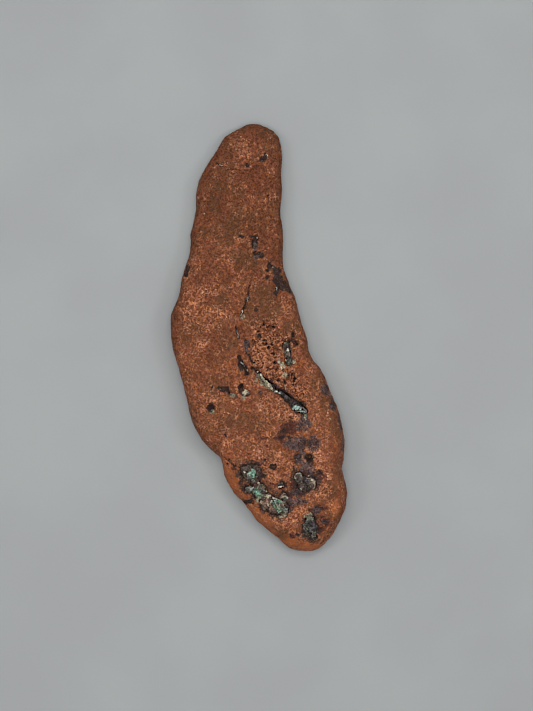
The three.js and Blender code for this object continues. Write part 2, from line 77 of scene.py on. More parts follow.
# The surface under it: plain matt pale grey card, cut flat, with a faint mottle of its fibres. The
# nugget lies loose on it.
class Wire:
    """An output socket of a node tree. Sums and products of wires add their Math nodes."""

    def __init__(self, tree, socket=None):
        self.tree = tree
        self.socket = socket

    def node(self, kind, settings=None, sockets=None, output=0):
        """A wire from a new node of this tree, with its settings, then its sockets' values or links."""
        made = self.tree.nodes.new(kind)
        for name, value in (settings or {}).items():
            setattr(made, name, value)
        for name, value in (sockets or {}).items():
            if isinstance(value, Wire):
                self.tree.links.new(value.socket, made.inputs[name])
            else:
                made.inputs[name].default_value = value
        return Wire(self.tree, made.outputs[output] if made.outputs else None)

    def math(self, operation, first, second):
        return self.node("ShaderNodeMath", {"operation": operation}, {0: first, 1: second})

    def __add__(self, other):
        return self.math("ADD", self, other)

    def __sub__(self, other):
        return self.math("SUBTRACT", self, other)

    def __rsub__(self, other):
        return self.math("SUBTRACT", other, self)

    def __mul__(self, other):
        return self.math("MULTIPLY", self, other)

    __radd__ = __add__
    __rmul__ = __mul__

    def scaled(self, factor):
        """This wire as a vector, each part of it times the factor."""
        return self.node("ShaderNodeVectorMath", {"operation": "SCALE"}, {0: self, "Scale": factor})

    def rise(self, low, high):
        """0 below low, 1 above high, eased between. A low above high turns it round."""
        sockets = {"Value": self, "From Min": low, "From Max": high}
        return self.node("ShaderNodeMapRange", {"interpolation_type": "SMOOTHSTEP"}, sockets)

    def colour(self, without, having):
        """The colour without, turned into the colour having where this wire is 1."""
        return self.node("ShaderNodeMix", {"data_type": "RGBA"}, {0: self, 6: without, 7: having}, 2)

    def tinted(self, colour, tint):
        """The colour, multiplied by the tint where this wire is 1."""
        settings = {"data_type": "RGBA", "blend_type": "MULTIPLY"}
        return self.node("ShaderNodeMix", settings, {0: self, 6: colour, 7: tint}, 2)

    def noise(self, size, detail=2.0, seed=0.0, roughness=0.5, distortion=0.0):
        """Soft noise over this wire as a place: patches of the given size, about 0.5 on average."""
        sockets = {"Vector": self, "W": seed, "Scale": 1 / size, "Detail": detail}
        sockets |= {"Roughness": roughness, "Distortion": distortion}
        return self.node("ShaderNodeTexNoise", {"noise_dimensions": "4D"}, sockets)

    def ridge(self):
        """1 where this wire is 0.5, falling off to both sides: thin winding crests on a noise."""
        return 1 - self.node("ShaderNodeMath", {"operation": "ABSOLUTE"}, {0: self * 2 - 1})

    def bordered(self, unevenness, spread=2.2, width=0.08):
        """A soft mask made crisp, along a border that the unevenness pushes about."""
        return (self + (unevenness - 0.5) * spread).rise(0.5 - width, 0.5 + width)


def srgb(red, green, blue):
    """A colour given as screen values from 0 to 255, as a linear one."""
    linear = [((value / 255 + 0.055) / 1.055) ** 2.4 for value in (red, green, blue)]
    return (*linear, 1.0)


def emptied(owner):
    """A wire to start from in the node tree of its owner, which is emptied."""
    owner.use_nodes = True
    owner.node_tree.nodes.clear()
    return Wire(owner.node_tree)


def new_material(name):
    """An empty material and a wire to its places on the piece, in millimetres."""
    material = bpy.data.materials.new(name)
    return material, emptied(material).node("ShaderNodeTexCoord", output="Object").scaled(1 / MM)


def finish_material(place, sockets, height=None):
    """The shader of a material, with its relief in millimetres as bump."""
    if height is not None:
        bump = {"Height": height, "Distance": MM, "Strength": 1.0}
        sockets = {**sockets, "Normal": place.node("ShaderNodeBump", None, bump)}
    shader = place.node("ShaderNodeBsdfPrincipled", None, sockets)
    place.node("ShaderNodeOutputMaterial", None, {"Surface": shader})


FLOOR_REACH = 600.0
FLOOR_DROP = 0.03
FLOOR_MOTTLE = 30.0
FIBRE_SIZE = 0.8
FIBRE_HEIGHT = 0.02
FLOOR_LIGHT = srgb(160, 163, 163)
FLOOR_SHADE = srgb(156, 158, 159)

floor_mesh = bpy.data.meshes.new("floor")
corners = [(-1, -1), (1, -1), (1, 1), (-1, 1)]
corners = [(x * FLOOR_REACH * MM, y * FLOOR_REACH * MM, -FLOOR_DROP * MM) for x, y in corners]
floor_mesh.from_pydata(corners, [], [(0, 1, 2, 3)])
floor = new_object("floor", floor_mesh)
floor_finish, place = new_material("pale card")
mottle = place.noise(FLOOR_MOTTLE, 3.0).rise(0.35, 0.65)
finish_material(place, {
    "Base Color": mottle.colour(FLOOR_SHADE, FLOOR_LIGHT),
    "Roughness": 0.9,
    "Specular IOR Level": 0.1,
}, place.noise(FIBRE_SIZE) * FIBRE_HEIGHT)
floor_mesh.materials.append(floor_finish)

# The light: a pale sky, brighter overhead, and large soft lamps in a ring round the view and one over
# it. Those at the long sides stand lower, so the shadow is widest there.
SKY_LOW = (0.2, 0.2, 0.2, 1.0)
SKY_HIGH = (0.42, 0.42, 0.42, 1.0)
LAMP_SIZE = 160.0
LAMP_DISTANCE = 520.0
LAMP_POWER = 0.31

# The lamps of the ring, as [turn, lean from upright, share of the power].
LAMPS = [
    [0, 40, 1.25], [180, 40, 1.25], [60, 30, 1], [120, 30, 1],
    [90, 22, 0.7], [245, 20, 0.7], [295, 20, 0.7],
]
OVERHEAD_POWER = 0.17
OVERHEAD_HEIGHT = 345.0
CRISPNESS = 0.035

sky = bpy.data.worlds.new("sky")
start = emptied(sky)
direction = start.node("ShaderNodeTexCoord", output="Generated")
upward = start.node("ShaderNodeSeparateXYZ", None, {"Vector": direction}, "Z")
shade = upward.rise(0.0, 1.0).colour(SKY_LOW, SKY_HIGH)
glow = start.node("ShaderNodeBackground", None, {"Color": shade})
start.node("ShaderNodeOutputWorld", None, {"Surface": glow})
bpy.context.scene.world = sky


def soft_lamp(direction, distance, power):
    lamp_data = bpy.data.lights.new("lamp", "AREA")
    lamp_data.shape = "DISK"
    lamp_data.size = LAMP_SIZE * MM
    lamp_data.energy = power
    lamp = new_object("lamp", lamp_data)
    lamp.location = direction * distance * MM
    lamp.rotation_euler = direction.to_track_quat("Z", "Y").to_euler()


soft_lamp(Vector((0, 0, 1)), OVERHEAD_HEIGHT, OVERHEAD_POWER)
for turn, lean, share in LAMPS:
    turn, lean = math.radians(turn), math.radians(lean)
    towards = (math.sin(lean) * math.cos(turn), math.sin(lean) * math.sin(turn), math.cos(lean))
    soft_lamp(Vector(towards), LAMP_DISTANCE, LAMP_POWER * share)

# The picture is made a little crisper, as small cameras do.
start = emptied(bpy.context.scene)
picture = start.node("CompositorNodeRLayers", output="Image")
sockets = {"Fac": CRISPNESS, "Image": picture}
crisp = start.node("CompositorNodeFilter", {"filter_type": "SHARPEN"}, sockets)
start.node("CompositorNodeComposite", None, {"Image": crisp})

# The nugget itself: one grown piece of copper, tumbled in gravel until its edges were round and its
# top hammered smooth, under a thin red-brown skin of oxide that is rubbed bright on every high grain,
# with painted highlights and glints on the brightest of them.
# It is made fine from the plain solid: evened, smoothed, dented, and its hollows cut again.
COPPER_VOXEL = 0.22

# The smoothing goes inwards and then a little further outwards, in turns.
SMOOTH_PASSES = 45
SMOOTH_IN = 0.5
SMOOTH_OUT = -0.53
MERGE_DISTANCE = 0.001

# Dents and lumps of the worn skin, as (size, height, seed) from coarse to fine.
RELIEF = [(2.6, 0.16, 1), (1.1, 0.075, 2), (0.6, 0.05, 3)]

# Pits on top, as [x, y, half width, half length, depth]. Their walls, and those of the grooves and
# the crack, run from the first of two shares of the half width to the second.
PIT_WALL = (0.35, 1.25)
GROOVE_WALL = (0.2, 1.3)
CRACK_WALL = (0.4, 1.3)
PITS = [
    [-2.1, 32, 0.45, 0.35, 0.45], [0.9, 33.2, 0.7, 0.5, 0.25], [1.6, 26.1, 0.3, 0.3, 0.45],
    [-3.4, 18.6, 0.4, 0.2, 0.35], [-0.4, 18.4, 0.35, 0.4, 0.4], [-0.8, 17.1, 0.65, 0.95, 0.25],
    [-0.8, 15.4, 0.5, 0.4, 0.35], [0.3, 15, 0.5, 0.35, 0.3], [2.2, 13.2, 0.22, 0.22, 0.4],
    [1.4, 12.1, 0.35, 0.3, 0.4], [1.6, 11, 0.35, 0.25, 0.3], [-13.7, 13, 0.4, 0.4, 0.4],
    [-13.9, 11.7, 0.45, 0.3, 0.35], [0, 1, 0.45, 0.22, 0.5], [0.9, 2.5, 0.35, 0.3, 0.5],
    [1.8, 2.1, 0.3, 0.25, 0.45], [2.7, 1.7, 0.4, 0.25, 0.5], [0.2, 0, 0.3, 0.3, 0.45],
    [0.9, -0.7, 0.32, 0.25, 0.5], [1.2, -1.3, 0.35, 0.25, 0.55], [2.4, -1.4, 0.3, 0.3, 0.5],
    [1.9, -2, 0.3, 0.3, 0.5], [2.8, -2.1, 0.3, 0.25, 0.5], [2.7, -2.9, 0.35, 0.22, 0.5],
    [3.2, -3.4, 0.22, 0.4, 0.45], [3, -4.6, 0.35, 0.42, 0.45], [6.2, 0.3, 0.25, 0.5, 0.6],
    [6.4, -0.9, 0.7, 0.35, 0.7], [7, -1.4, 0.35, 0.3, 0.6], [5.5, -1.2, 0.5, 0.4, 0.5],
    [5.3, -6.9, 0.3, 0.45, 0.4], [6, -7, 0.25, 0.45, 0.5], [6.6, -7.8, 0.32, 0.6, 0.55],
    [6.6, -9, 0.28, 0.22, 0.4], [4.7, -8.5, 0.22, 0.45, 0.45], [3.4, -7.9, 0.3, 0.35, 0.4],
    [-3.1, -9.1, 0.5, 0.5, 0.65], [-3.4, -9.7, 0.35, 0.4, 0.4], [0.3, -5.7, 0.22, 0.2, 0.4],
    [0.7, -4.8, 0.25, 0.2, 0.35], [1.8, -5.5, 0.3, 0.2, 0.35], [3.6, -5.9, 0.25, 0.3, 0.35],
    [-8.9, -13, 0.7, 0.7, 0.3], [9.3, -22.3, 0.7, 0.7, 0.5], [2.6, -24, 0.55, 0.5, 0.25],
    [0.7, -25.6, 0.5, 0.3, 0.4], [-2.3, -30.8, 0.8, 0.35, 0.5], [-4.6, -23.7, 0.3, 0.3, 0.35],
    [-5.7, -23.5, 0.25, 0.25, 0.3], [1.1, -22.6, 0.3, 0.3, 0.3], [11.2, -25, 0.35, 0.3, 0.35],
    [12.1, -34.2, 0.3, 0.4, 0.35], [7.3, -36.6, 0.3, 0.25, 0.3], [12.9, -9.4, 0.4, 0.6, 0.3],
    [-8.7, -9.4, 0.25, 0.45, 0.3], [-13.3, 12.5, 0.2, 0.5, 0.3],
]

# Cracks and grooves on top, as a path of [x, y], the half width, and the depth.
GROOVES = [
    ([[-7.8, 32.2], [-6.9, 31.9], [-5.8, 31.3], [-4.7, 31.1]], 0.15, 0.4),
    ([[-1.6, 9.5], [-1.9, 8.4], [-2.1, 6.9], [-2.4, 5.6], [-3, 4.7], [-3.2, 3.8]], 0.17, 0.4),
    ([[-4.3, 2.1], [-4, 1], [-3.8, -0.3]], 0.2, 0.35),
    ([[-2.3, -0.5], [-2.4, -1.6], [-2.1, -2.9], [-1.6, -3.8], [-0.8, -4.9]], 0.22, 0.3),
    ([[-3.7, -3.6], [-3.3, -4.8], [-2.5, -5.5], [-2, -6.8]], 0.32, 0.5),
    ([[-7.4, -9.3], [-6.2, -9.8], [-5.5, -10.6], [-4.2, -10.8]], 0.28, 0.45),
    ([[-6.4, -22.2], [-5.5, -22.9], [-4.6, -23.9]], 0.16, 0.3),
    ([[8.7, -13.8], [8.9, -14.5], [8.8, -15.3]], 0.2, 0.3),
    ([[6.5, -22], [6.6, -23.3], [6.5, -24.8]], 0.12, 0.3),
    ([[6.7, -22.2], [7, -21.7], [7.4, -21.6], [7.9, -22], [7.9, -22.6], [7.4, -22.9]], 0.12, 0.3),
    ([[9.9, -32.3], [10.6, -31.8], [11.6, -31.2]], 0.14, 0.3),
]

# The slanting crack, and the dark hollow that it ends in, as [x, y, half width, depth].
CRACK = [
    [-1.2, -5.7, 0.25, 0.35], [-0.2, -6.4, 0.35, 0.5], [0.9, -7.8, 0.45, 0.6], [2.4, -9.1, 0.55, 0.7],
    [4.1, -10.1, 0.6, 0.8], [5.8, -11.3, 0.65, 0.9], [6.9, -12.6, 0.85, 1], [8, -13.4, 0.8, 0.9],
    [8.7, -13.9, 0.4, 0.6],
]

# Soft patches of the top, as [x, y, half width, half length]: black, maroon and purple films of
# oxide, a pale mineral one, and skin that is olive, smooth, fresh, rubbed bright, or hackly, which
# is small crystals with gaps between.
TONE_PATCHES = {
    "soot": [
        [2.2, 13, 0.5, 0.7], [3.3, 12.3, 0.6, 1], [3.5, 10.8, 0.8, 1.2], [4.2, 9.5, 1, 1],
        [5.7, 8.9, 0.8, 0.6], [3.5, 8.6, 0.4, 0.9], [-1, 17.6, 0.5, 1], [-1.1, 16.1, 0.5, 0.4],
        [0, 15.6, 0.7, 0.3], [-1.1, 18.7, 0.7, 0.3], [-3.2, 18.7, 0.5, 0.2], [0.5, 32.8, 0.8, 0.4],
        [1.1, 33.7, 0.5, 0.5], [-0.4, 4.9, 0.4, 0.4], [2.9, 8.4, 0.3, 0.3], [-3.2, -5.1, 0.5, 1.1],
        [-2.1, -6.6, 0.5, 0.5], [-6.6, -9.6, 0.9, 0.5], [-3.2, -9.3, 0.6, 0.7], [4.4, -18.4, 0.5, 0.4],
        [-6.1, -18.1, 0.3, 0.3], [2.6, -23.9, 0.6, 0.5], [-2.3, -23.9, 1, 0.4], [-0.2, -23.7, 0.7, 0.5],
        [0.7, -25.4, 0.6, 0.3], [-2.9, -30.8, 0.9, 0.4], [-1.6, -30.4, 0.9, 0.3], [7.8, -12.4, 0.9, 0.9],
        [5.9, -11.7, 0.8, 0.5], [8.2, -14.3, 0.6, 0.8], [11.2, -24.8, 0.4, 0.5], [9.3, -22.3, 1, 1],
        [3.1, -32.7, 1.6, 0.4], [-3.4, -26.5, 0.4, 0.9], [-13.2, 12.6, 0.35, 0.3], [-13.3, 11.5, 0.4, 0.3],
        [7.6, -16.9, 0.5, 0.4], [9.1, -16, 0.4, 0.5], [8.4, -16.4, 0.3, 0.6], [6.1, -18.6, 0.7, 0.3],
        [8.4, -19.9, 0.4, 0.4], [7.3, -22.4, 0.5, 0.4], [4.6, -17.3, 0.5, 0.4],
    ],
    "maroon": [
        [5.4, -16.9, 1.7, 1.1], [4.3, -18.1, 1, 1], [6.3, -16, 1, 0.6], [3.3, -18.6, 0.7, 0.3],
        [10.1, -25.6, 1.7, 1], [11, -24.8, 0.8, 0.8], [1.1, -23.3, 0.4, 0.6], [0.1, -25.8, 0.6, 0.6],
        [6.5, -27.4, 0.9, 1], [5.8, -29.5, 0.6, 1], [9.9, -32.1, 0.7, 0.6], [-8.9, -13, 0.9, 0.9],
        [-2.7, -30.4, 1.1, 0.4], [11.8, -33.6, 0.7, 0.5], [12.5, -34.4, 0.6, 1], [11.2, -35.7, 0.7, 0.7],
        [6.3, -37, 0.8, 0.6], [1.1, -18.6, 0.7, 0.3], [-13.7, 12.3, 0.3, 1], [1.4, -19.9, 0.3, 0.3],
        [-4.7, -24.4, 0.4, 0.3], [6.5, -20.5, 0.9, 0.3], [7.8, -20.9, 0.9, 0.4], [9.5, -23.3, 0.7, 0.6],
        [8.4, -25.4, 0.9, 0.7], [7.3, -28.8, 1, 0.8], [-3.1, -31.2, 0.9, 0.3], [2.8, -26.9, 0.6, 0.3],
        [-1, -22.8, 0.6, 0.3], [11.8, -31.6, 0.6, 0.4], [7.3, -31, 0.4, 0.3], [4.6, -19.2, 0.4, 0.6],
        [5.8, -15.1, 0.7, 0.3], [-13.2, 12.3, 0.45, 0.9],
    ],
    "purple": [
        [7.1, -19.8, 2.3, 1.1], [9.9, -19.9, 1.3, 1.2], [8.4, -16.3, 1.5, 1.3], [10.1, -18.3, 0.7, 0.35],
        [10.6, -19.2, 0.9, 0.7], [7.3, -22.3, 0.9, 0.9], [8.8, -24.4, 1.6, 1], [8.2, -23.5, 0.7, 0.6],
        [9.5, -26.3, 1.5, 0.6], [6.1, -30.8, 1.1, 0.9], [7.1, -30.3, 1, 0.6], [8.4, -30.6, 1.1, 0.4],
        [5.2, -31.9, 0.5, 1], [6.7, -28.8, 0.7, 0.7], [10.8, -31.8, 0.8, 0.9], [12.1, -34.2, 0.6, 0.5],
        [12.3, -9.6, 1, 1.2], [13.8, -12.4, 0.6, 1.6], [15.2, -15.4, 0.5, 2], [15.8, -19.2, 0.4, 2],
        [-2.1, -1.6, 0.5, 1.2], [0.3, -10.4, 0.4, 0.4], [-0.6, 15, 0.6, 0.4], [-0.8, 16.9, 0.5, 0.7],
        [5.9, -19.4, 0.9, 0.6], [8.2, -21.3, 0.5, 0.6], [8, -15.3, 0.5, 0.6], [9.7, -24.1, 0.9, 0.7],
        [5.8, -30.1, 0.6, 0.6], [2.2, -7.9, 0.6, 0.4], [3.3, -9, 0.6, 0.4], [4.6, -10.1, 0.7, 0.5],
        [5.9, -11.3, 0.5, 0.4],
    ],
    "mineral": [
        [0.5, -7.8, 0.45, 0.35], [1, -8.4, 0.5, 0.45], [1.5, -9, 0.5, 0.45], [2.1, -9.5, 0.4, 0.35],
        [3.7, -4.3, 0.3, 0.4], [4, -4.9, 0.35, 0.6], [4.3, -5.7, 0.3, 0.45], [5, -6.9, 0.35, 0.45],
        [4.9, -9, 0.25, 0.3], [5.4, -3.5, 0.4, 0.4], [6, -4.6, 0.45, 0.4], [5, -2.7, 0.3, 0.3],
        [-0.5, -8.1, 0.3, 0.35], [-0.8, -6.3, 0.3, 0.3], [0, -7.2, 0.3, 0.3], [-3, -11.2, 0.4, 0.25],
        [-8.5, -13.7, 0.3, 0.4], [8.8, -14.5, 0.25, 0.7], [4.8, -32.5, 0.5, 0.6], [4.1, -33.1, 0.5, 0.3],
        [-3, 3.6, 0.4, 0.4], [-4.7, -10.9, 0.5, 0.25], [-0.1, -29.9, 0.3, 0.5], [9.1, -33, 0.8, 0.4],
    ],
    "olive": [
        [0, 6.2, 2.4, 3.6], [-1.1, 4.1, 2.2, 1.8], [1.8, 7.6, 1.6, 2], [0.7, 38, 2, 1],
        [-5.9, 19.5, 2.4, 2.2], [-3.4, 22.6, 2.2, 1.4], [-8.2, 24.5, 1.2, 1.8], [-10.4, 19.3, 1.4, 1.2],
        [-2.6, 13.9, 2.2, 2], [-6.7, 6.9, 1.6, 1.4], [-13.9, 0.4, 0.9, 2.2], [-5.6, -0.9, 2.2, 2],
        [-4.9, -15.4, 2.8, 2.2], [-0.6, -16.4, 2, 1.6], [4.3, -36.8, 1.6, 1], [-6.7, 27.8, 1.6, 1.2],
        [-4.1, 26.9, 1.4, 1.2], [13.4, -28.6, 1.4, 1.8], [5.9, 1.7, 1.8, 1.4], [12.7, -11.7, 1.4, 2.4],
        [14.2, -16.4, 1.2, 2.4], [11.2, -8.9, 1.2, 1.2], [2.6, 37.2, 1.6, 1.2], [2.2, 4.7, 1.6, 1.8],
        [-8.5, -8.9, 1.2, 1.6],
    ],
    "smooth": [
        [2.6, 22.6, 1.6, 3.6], [1.8, 18, 1.2, 1.6], [3.1, 34.6, 1.4, 3.4], [1.1, 37.8, 2.6, 1.6],
        [-0.4, 36.8, 1.4, 1.2], [10.8, -15.4, 2.2, 4], [13.4, -17.3, 2.2, 4.4], [14.2, -22, 1.6, 2.4],
        [14.9, -27.6, 1.4, 3.4], [7.4, -3.3, 1.4, 1.6], [-4.9, -4.2, 2.4, 2.4], [-8.1, -6.4, 2, 2.6],
        [-10.9, -6.1, 1.6, 2.4], [-4.9, -13.2, 2.4, 1.2], [6.6, 3.6, 1, 2.4], [10.6, -7, 1.4, 1.4],
        [-3.4, -19.2, 2.4, 1.4], [-10.9, 21.7, 1, 2.4], [5, -37.9, 2.6, 0.9], [9.7, -38.9, 2.6, 0.8],
        [-5.7, -24.8, 1.4, 1.6], [-4.2, -27.6, 1.3, 1.8], [-2.9, -29.9, 1.2, 1.5], [-0.4, -32.7, 1.2, 1.6],
        [1.4, -34.8, 1.4, 1.2],
    ],
    "fresh": [
        [-6.1, -24.4, 1.4, 1.6], [-4.6, -27.3, 1.3, 1.8], [-3.1, -29.9, 1.2, 1.5], [-0.8, -32.7, 1.2, 1.6],
        [1.1, -34.4, 1.6, 1.4], [5, -38.1, 2.6, 0.9], [9.7, -39.1, 2.6, 0.8], [14.2, -31.4, 0.8, 1.6],
        [-5.7, -22.6, 1, 0.8], [2.6, -36.4, 1.2, 0.7],
    ],
    "rubbed": [
        [-3.4, 35.6, 2, 2.6], [-4.7, 31.9, 2.4, 1.6], [-1.5, 33.3, 1.2, 1.2], [2.6, 30.2, 1.2, 1.2],
        [-5, 28.7, 1.8, 0.9], [-2.4, 28.5, 1, 1], [-3.2, 23.5, 1.6, 1.2], [-11.7, 13.9, 1.4, 1.8],
        [-12.6, 6.9, 2.2, 2.6], [-10.8, 5.1, 2.4, 1.8], [-13.5, 2.8, 1.2, 2.4], [-9.3, 8.8, 2.2, 1.4],
        [-6.1, 4.1, 2, 1.4], [-9.3, 2.8, 1.6, 1.6], [5.3, 6.4, 1.2, 2], [1.4, 1.4, 1.6, 1.2],
        [-0.1, -3.3, 1.6, 1.6], [0.7, -5.1, 1.4, 1.2], [-8.7, -10.8, 1.6, 1.4], [2.9, -13.2, 2.4, 2.2],
        [5.9, -14.5, 1.6, 1.2], [7.3, -10.8, 1.6, 1.4], [2.6, -22, 2.8, 1.6], [5, -23.5, 1.4, 2.2],
        [2.8, -26.3, 1.8, 1], [10.6, -22, 1.4, 2.2], [8.4, -16.9, 1.2, 1.2], [11.9, -24.8, 1.4, 1.4],
        [11.2, -29.1, 2.2, 1.4], [8.4, -32.7, 0.8, 1.4], [6.3, -34, 1, 1.8], [13.4, -31.4, 1.4, 1.4],
        [4.6, -34.2, 1, 1.4], [2.2, -33.6, 1, 1], [-5.7, -19.2, 1.2, 0.8], [-10.8, -1.4, 1.4, 1],
        [0.7, 16.1, 1, 0.8], [-6.1, 13.9, 1.6, 1.2], [11.2, -37.9, 1.4, 0.9],
    ],
    "hackly": [
        [1.3, 1.7, 2, 1.6], [2, -1, 1.6, 2.6], [-0.2, -2.3, 1.4, 2.2], [0.7, -4.6, 1.8, 1.6],
        [4.8, -7.9, 2.6, 2.8], [2.6, -6.4, 1.8, 1.6], [7.1, -10.2, 1.4, 1.6], [4.2, -1.2, 1.8, 1.6],
    ],
}

# The narrow end is duller than the broad one: the place along the nugget where it starts to be and
# where it is dullest.
DULL_SPAN = (-22.0, 30.0)

# The same films and tones on the underside and the sides, as (name, size of its patches, how rare it
# is, seed), and the pits below, which lie at least PIT_BELOW_LOWEST over the resting face.
OTHER_SIDES = [
    ("smooth", 6.0, 0.1, 41), ("rubbed", 3.5, 0.3, 43), ("olive", 4.5, 0.3, 47),
    ("maroon", 2.6, 1.1, 51), ("purple", 2.2, 1.3, 53), ("soot", 1.6, 1.5, 55),
]
OTHER_CONTRAST = 3
PITS_BELOW = 26
PIT_BELOW_SEED = 5
PIT_BELOW_SIZE = (0.2, 0.6)
PIT_BELOW_LOWEST = 0.5

# How far soot spreads from a pit's edge, and how far from it the bright ring round it lies and spreads.
SOOT_SPREAD = 0.3
RIM_AWAY = 0.3
RIM_SPREAD = 0.3

# How the borders of hollows and of patches wander, as (size, shift, seed).
HOLLOW_WANDER = [(1.2, 0.45, 11), (0.5, 0.13, 13)]
PATCH_WANDER = [(2.6, 0.45, 21), (0.9, 0.4, 23)]

# How far up the surface faces where it starts to count as the top and where it is all top, and where
# the rim turns down and gets a painted shade, darker the further down it faces.
TOP_FACING = (0.1, 0.45)
RIM_FACING = (-0.1, 0.45)
POCKET_CLEARANCE = 0.12


def piece_from(node, name):
    """A new piece with the shape of a node of the frame, its corners joined."""
    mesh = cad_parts[node].data.copy()
    mesh.materials.clear()
    shape = bmesh.new()
    shape.from_mesh(mesh)
    bmesh.ops.remove_doubles(shape, verts=shape.verts, dist=MERGE_DISTANCE * MM)
    shape.to_mesh(mesh)
    shape.free()
    return new_object(name, mesh)


def settle(piece):
    """The shape that a piece's modifiers give becomes its plain mesh."""
    depsgraph = bpy.context.evaluated_depsgraph_get()
    mesh = bpy.data.meshes.new_from_object(piece.evaluated_get(depsgraph))
    piece.modifiers.clear()
    piece.data = mesh
    return mesh


def even_mesh(piece, voxel):
    """The piece's surface as even small squares."""
    remesh = piece.modifiers.new("even mesh", "REMESH")
    remesh.mode = "VOXEL"
    remesh.voxel_size = voxel * MM
    return settle(piece)


def read_rows(items, field):
    """The three numbers that each item holds in a field."""
    numbers = np.empty(len(items) * 3)
    items.foreach_get(field, numbers)
    return numbers.reshape(-1, 3)


def read_points(mesh):
    return read_rows(mesh.vertices, "co") / MM


def write_points(mesh, points):
    mesh.vertices.foreach_set("co", (points * MM).ravel())
    mesh.update()


def read_normals(mesh):
    return read_rows(mesh.vertex_normals, "vector")


def smoothed(mesh, passes):
    """The mesh's points, smoothed in turns inwards and outwards so that the shape doesn't shrink."""
    points = read_points(mesh)
    edges = np.empty(len(mesh.edges) * 2, dtype=np.int32)
    mesh.edges.foreach_get("vertices", edges)
    one, other = edges.reshape(-1, 2).T
    start, end = np.concatenate((one, other)), np.concatenate((other, one))
    neighbours = np.bincount(start, minlength=len(points))
    for turn in range(2 * passes):
        sums = [np.bincount(start, points[end, axis], len(points)) for axis in range(3)]
        mean = np.stack(sums, axis=1) / neighbours[:, None]
        points = points + (SMOOTH_OUT if turn % 2 else SMOOTH_IN) * (mean - points)
    return points


def wander(points, size, seed):
    """Soft noise from -1 to 1 at each point, with swells of the given size."""
    shift = Vector((seed * 3.7, seed * 5.3, seed * 7.9))
    return np.array([noise.noise(Vector(point) / size + shift) for point in points])


def ease(value):
    held = np.clip(value, 0, 1)
    return held * held * (3 - 2 * held)


def between(value, span):
    """0 below a span, 1 above it, eased in it."""
    low, high = span
    return ease((value - low) / (high - low))


def warped(points, wanders):
    """The points' x and y, pushed about by soft noise."""
    x, y = points[:, 0].copy(), points[:, 1].copy()
    for size, shift, seed in wanders:
        x += shift * wander(points, size, seed)
        y += shift * wander(points, size, seed + 1)
    return x, y


def off_centre(x, y, centre_x, centre_y, half_x, half_y):
    """How far each place is from a patch's middle, which is 1 on the patch's border."""
    return np.hypot((x - centre_x) / half_x, (y - centre_y) / half_y)


def round_patches(x, y, patches):
    """1 inside soft patches [x, y, half width, half length], 0.5 on their border, 0 outside."""
    cover = np.zeros_like(x)
    for patch in patches:
        cover = np.maximum(cover, ease(1.5 - off_centre(x, y, *patch)))
    return cover


def beside_path(x, y, path):
    """Distance to a chain of points, with what the rows hold besides x and y, at the nearest place."""
    nearest = np.full_like(x, np.inf)
    held = np.zeros((len(path[0]) - 2, len(x)))
    for row, following in zip(path, path[1:]):
        (ax, ay, *values), (bx, by, *next_values) = row, following
        length = math.hypot(bx - ax, by - ay)
        share = np.clip(((x - ax) * (bx - ax) + (y - ay) * (by - ay)) / length**2, 0, 1)
        distance = np.hypot(x - ax - share * (bx - ax), y - ay - share * (by - ay))
        closer = distance < nearest
        nearest = np.where(closer, distance, nearest)
        for i, (value, next_value) in enumerate(zip(values, next_values)):
            held[i] = np.where(closer, value + share * (next_value - value), held[i])
    return nearest, held


def store(mesh, name, values):
    """Values, or colours where each has four numbers, kept at the mesh's points."""
    kind, field = ("FLOAT_COLOR", "color") if np.ndim(values) == 2 else ("FLOAT", "value")
    attribute = mesh.attributes.new(name, kind, "POINT")
    attribute.data.foreach_set(field, np.asarray(values, dtype=np.float32).ravel())


def hollowed(depth, soot, distance, half_width, hollow_depth, wall):
    """Depth and soot with one more hollow, whose middle is this distance away."""
    depth = np.maximum(depth, hollow_depth * (1 - between(distance / half_width, wall)))
    return depth, np.maximum(soot, ease(0.5 - (distance - half_width) / SOOT_SPREAD))


copper = piece_from("copper_nugget", "copper_nugget_metal")
copper_mesh = even_mesh(copper, COPPER_VOXEL)
write_points(copper_mesh, smoothed(copper_mesh, SMOOTH_PASSES))
points = read_points(copper_mesh)
normals = read_normals(copper_mesh)
on_top = between(normals[:, 2], TOP_FACING)
for size, height, seed in RELIEF:
    points += normals * (height * wander(points, size, seed))[:, None]

x, y = warped(points, HOLLOW_WANDER)
depth = np.zeros_like(x)
soot = np.zeros_like(x)
bright_rim = np.zeros_like(x)
for *pit, pit_depth in PITS:
    half_width = min(pit[2:])
    distance = off_centre(x, y, *pit) * half_width
    depth, soot = hollowed(depth, soot, distance, half_width, pit_depth, PIT_WALL)
    off_rim = abs(distance - half_width - RIM_AWAY)
    bright_rim = np.maximum(bright_rim, ease(1 - off_rim / RIM_SPREAD))
for path, half_width, groove_depth in GROOVES:
    distance, _ = beside_path(x, y, path)
    depth, soot = hollowed(depth, soot, distance, half_width, groove_depth, GROOVE_WALL)
distance, (half_width, crack_depth) = beside_path(x, y, CRACK)
depth, soot = hollowed(depth, soot, distance, half_width, crack_depth, CRACK_WALL)
points[:, 2] -= depth * on_top

# Pits below, where the metal stands clear of what it rests on.
below = between(-normals[:, 2], TOP_FACING)
random = np.random.default_rng(PIT_BELOW_SEED)
free = np.flatnonzero((below > 0.9) & (points[:, 2] > PIT_BELOW_LOWEST))
below_depth = np.zeros_like(x)
soot_below = np.zeros_like(x)
for centre in points[random.choice(free, PITS_BELOW, replace=False)]:
    half = random.uniform(*PIT_BELOW_SIZE)
    distance = np.hypot(x - centre[0], y - centre[1])
    below_depth, soot_below = hollowed(below_depth, soot_below, distance, half, half, PIT_WALL)
points[:, 2] += below_depth * below

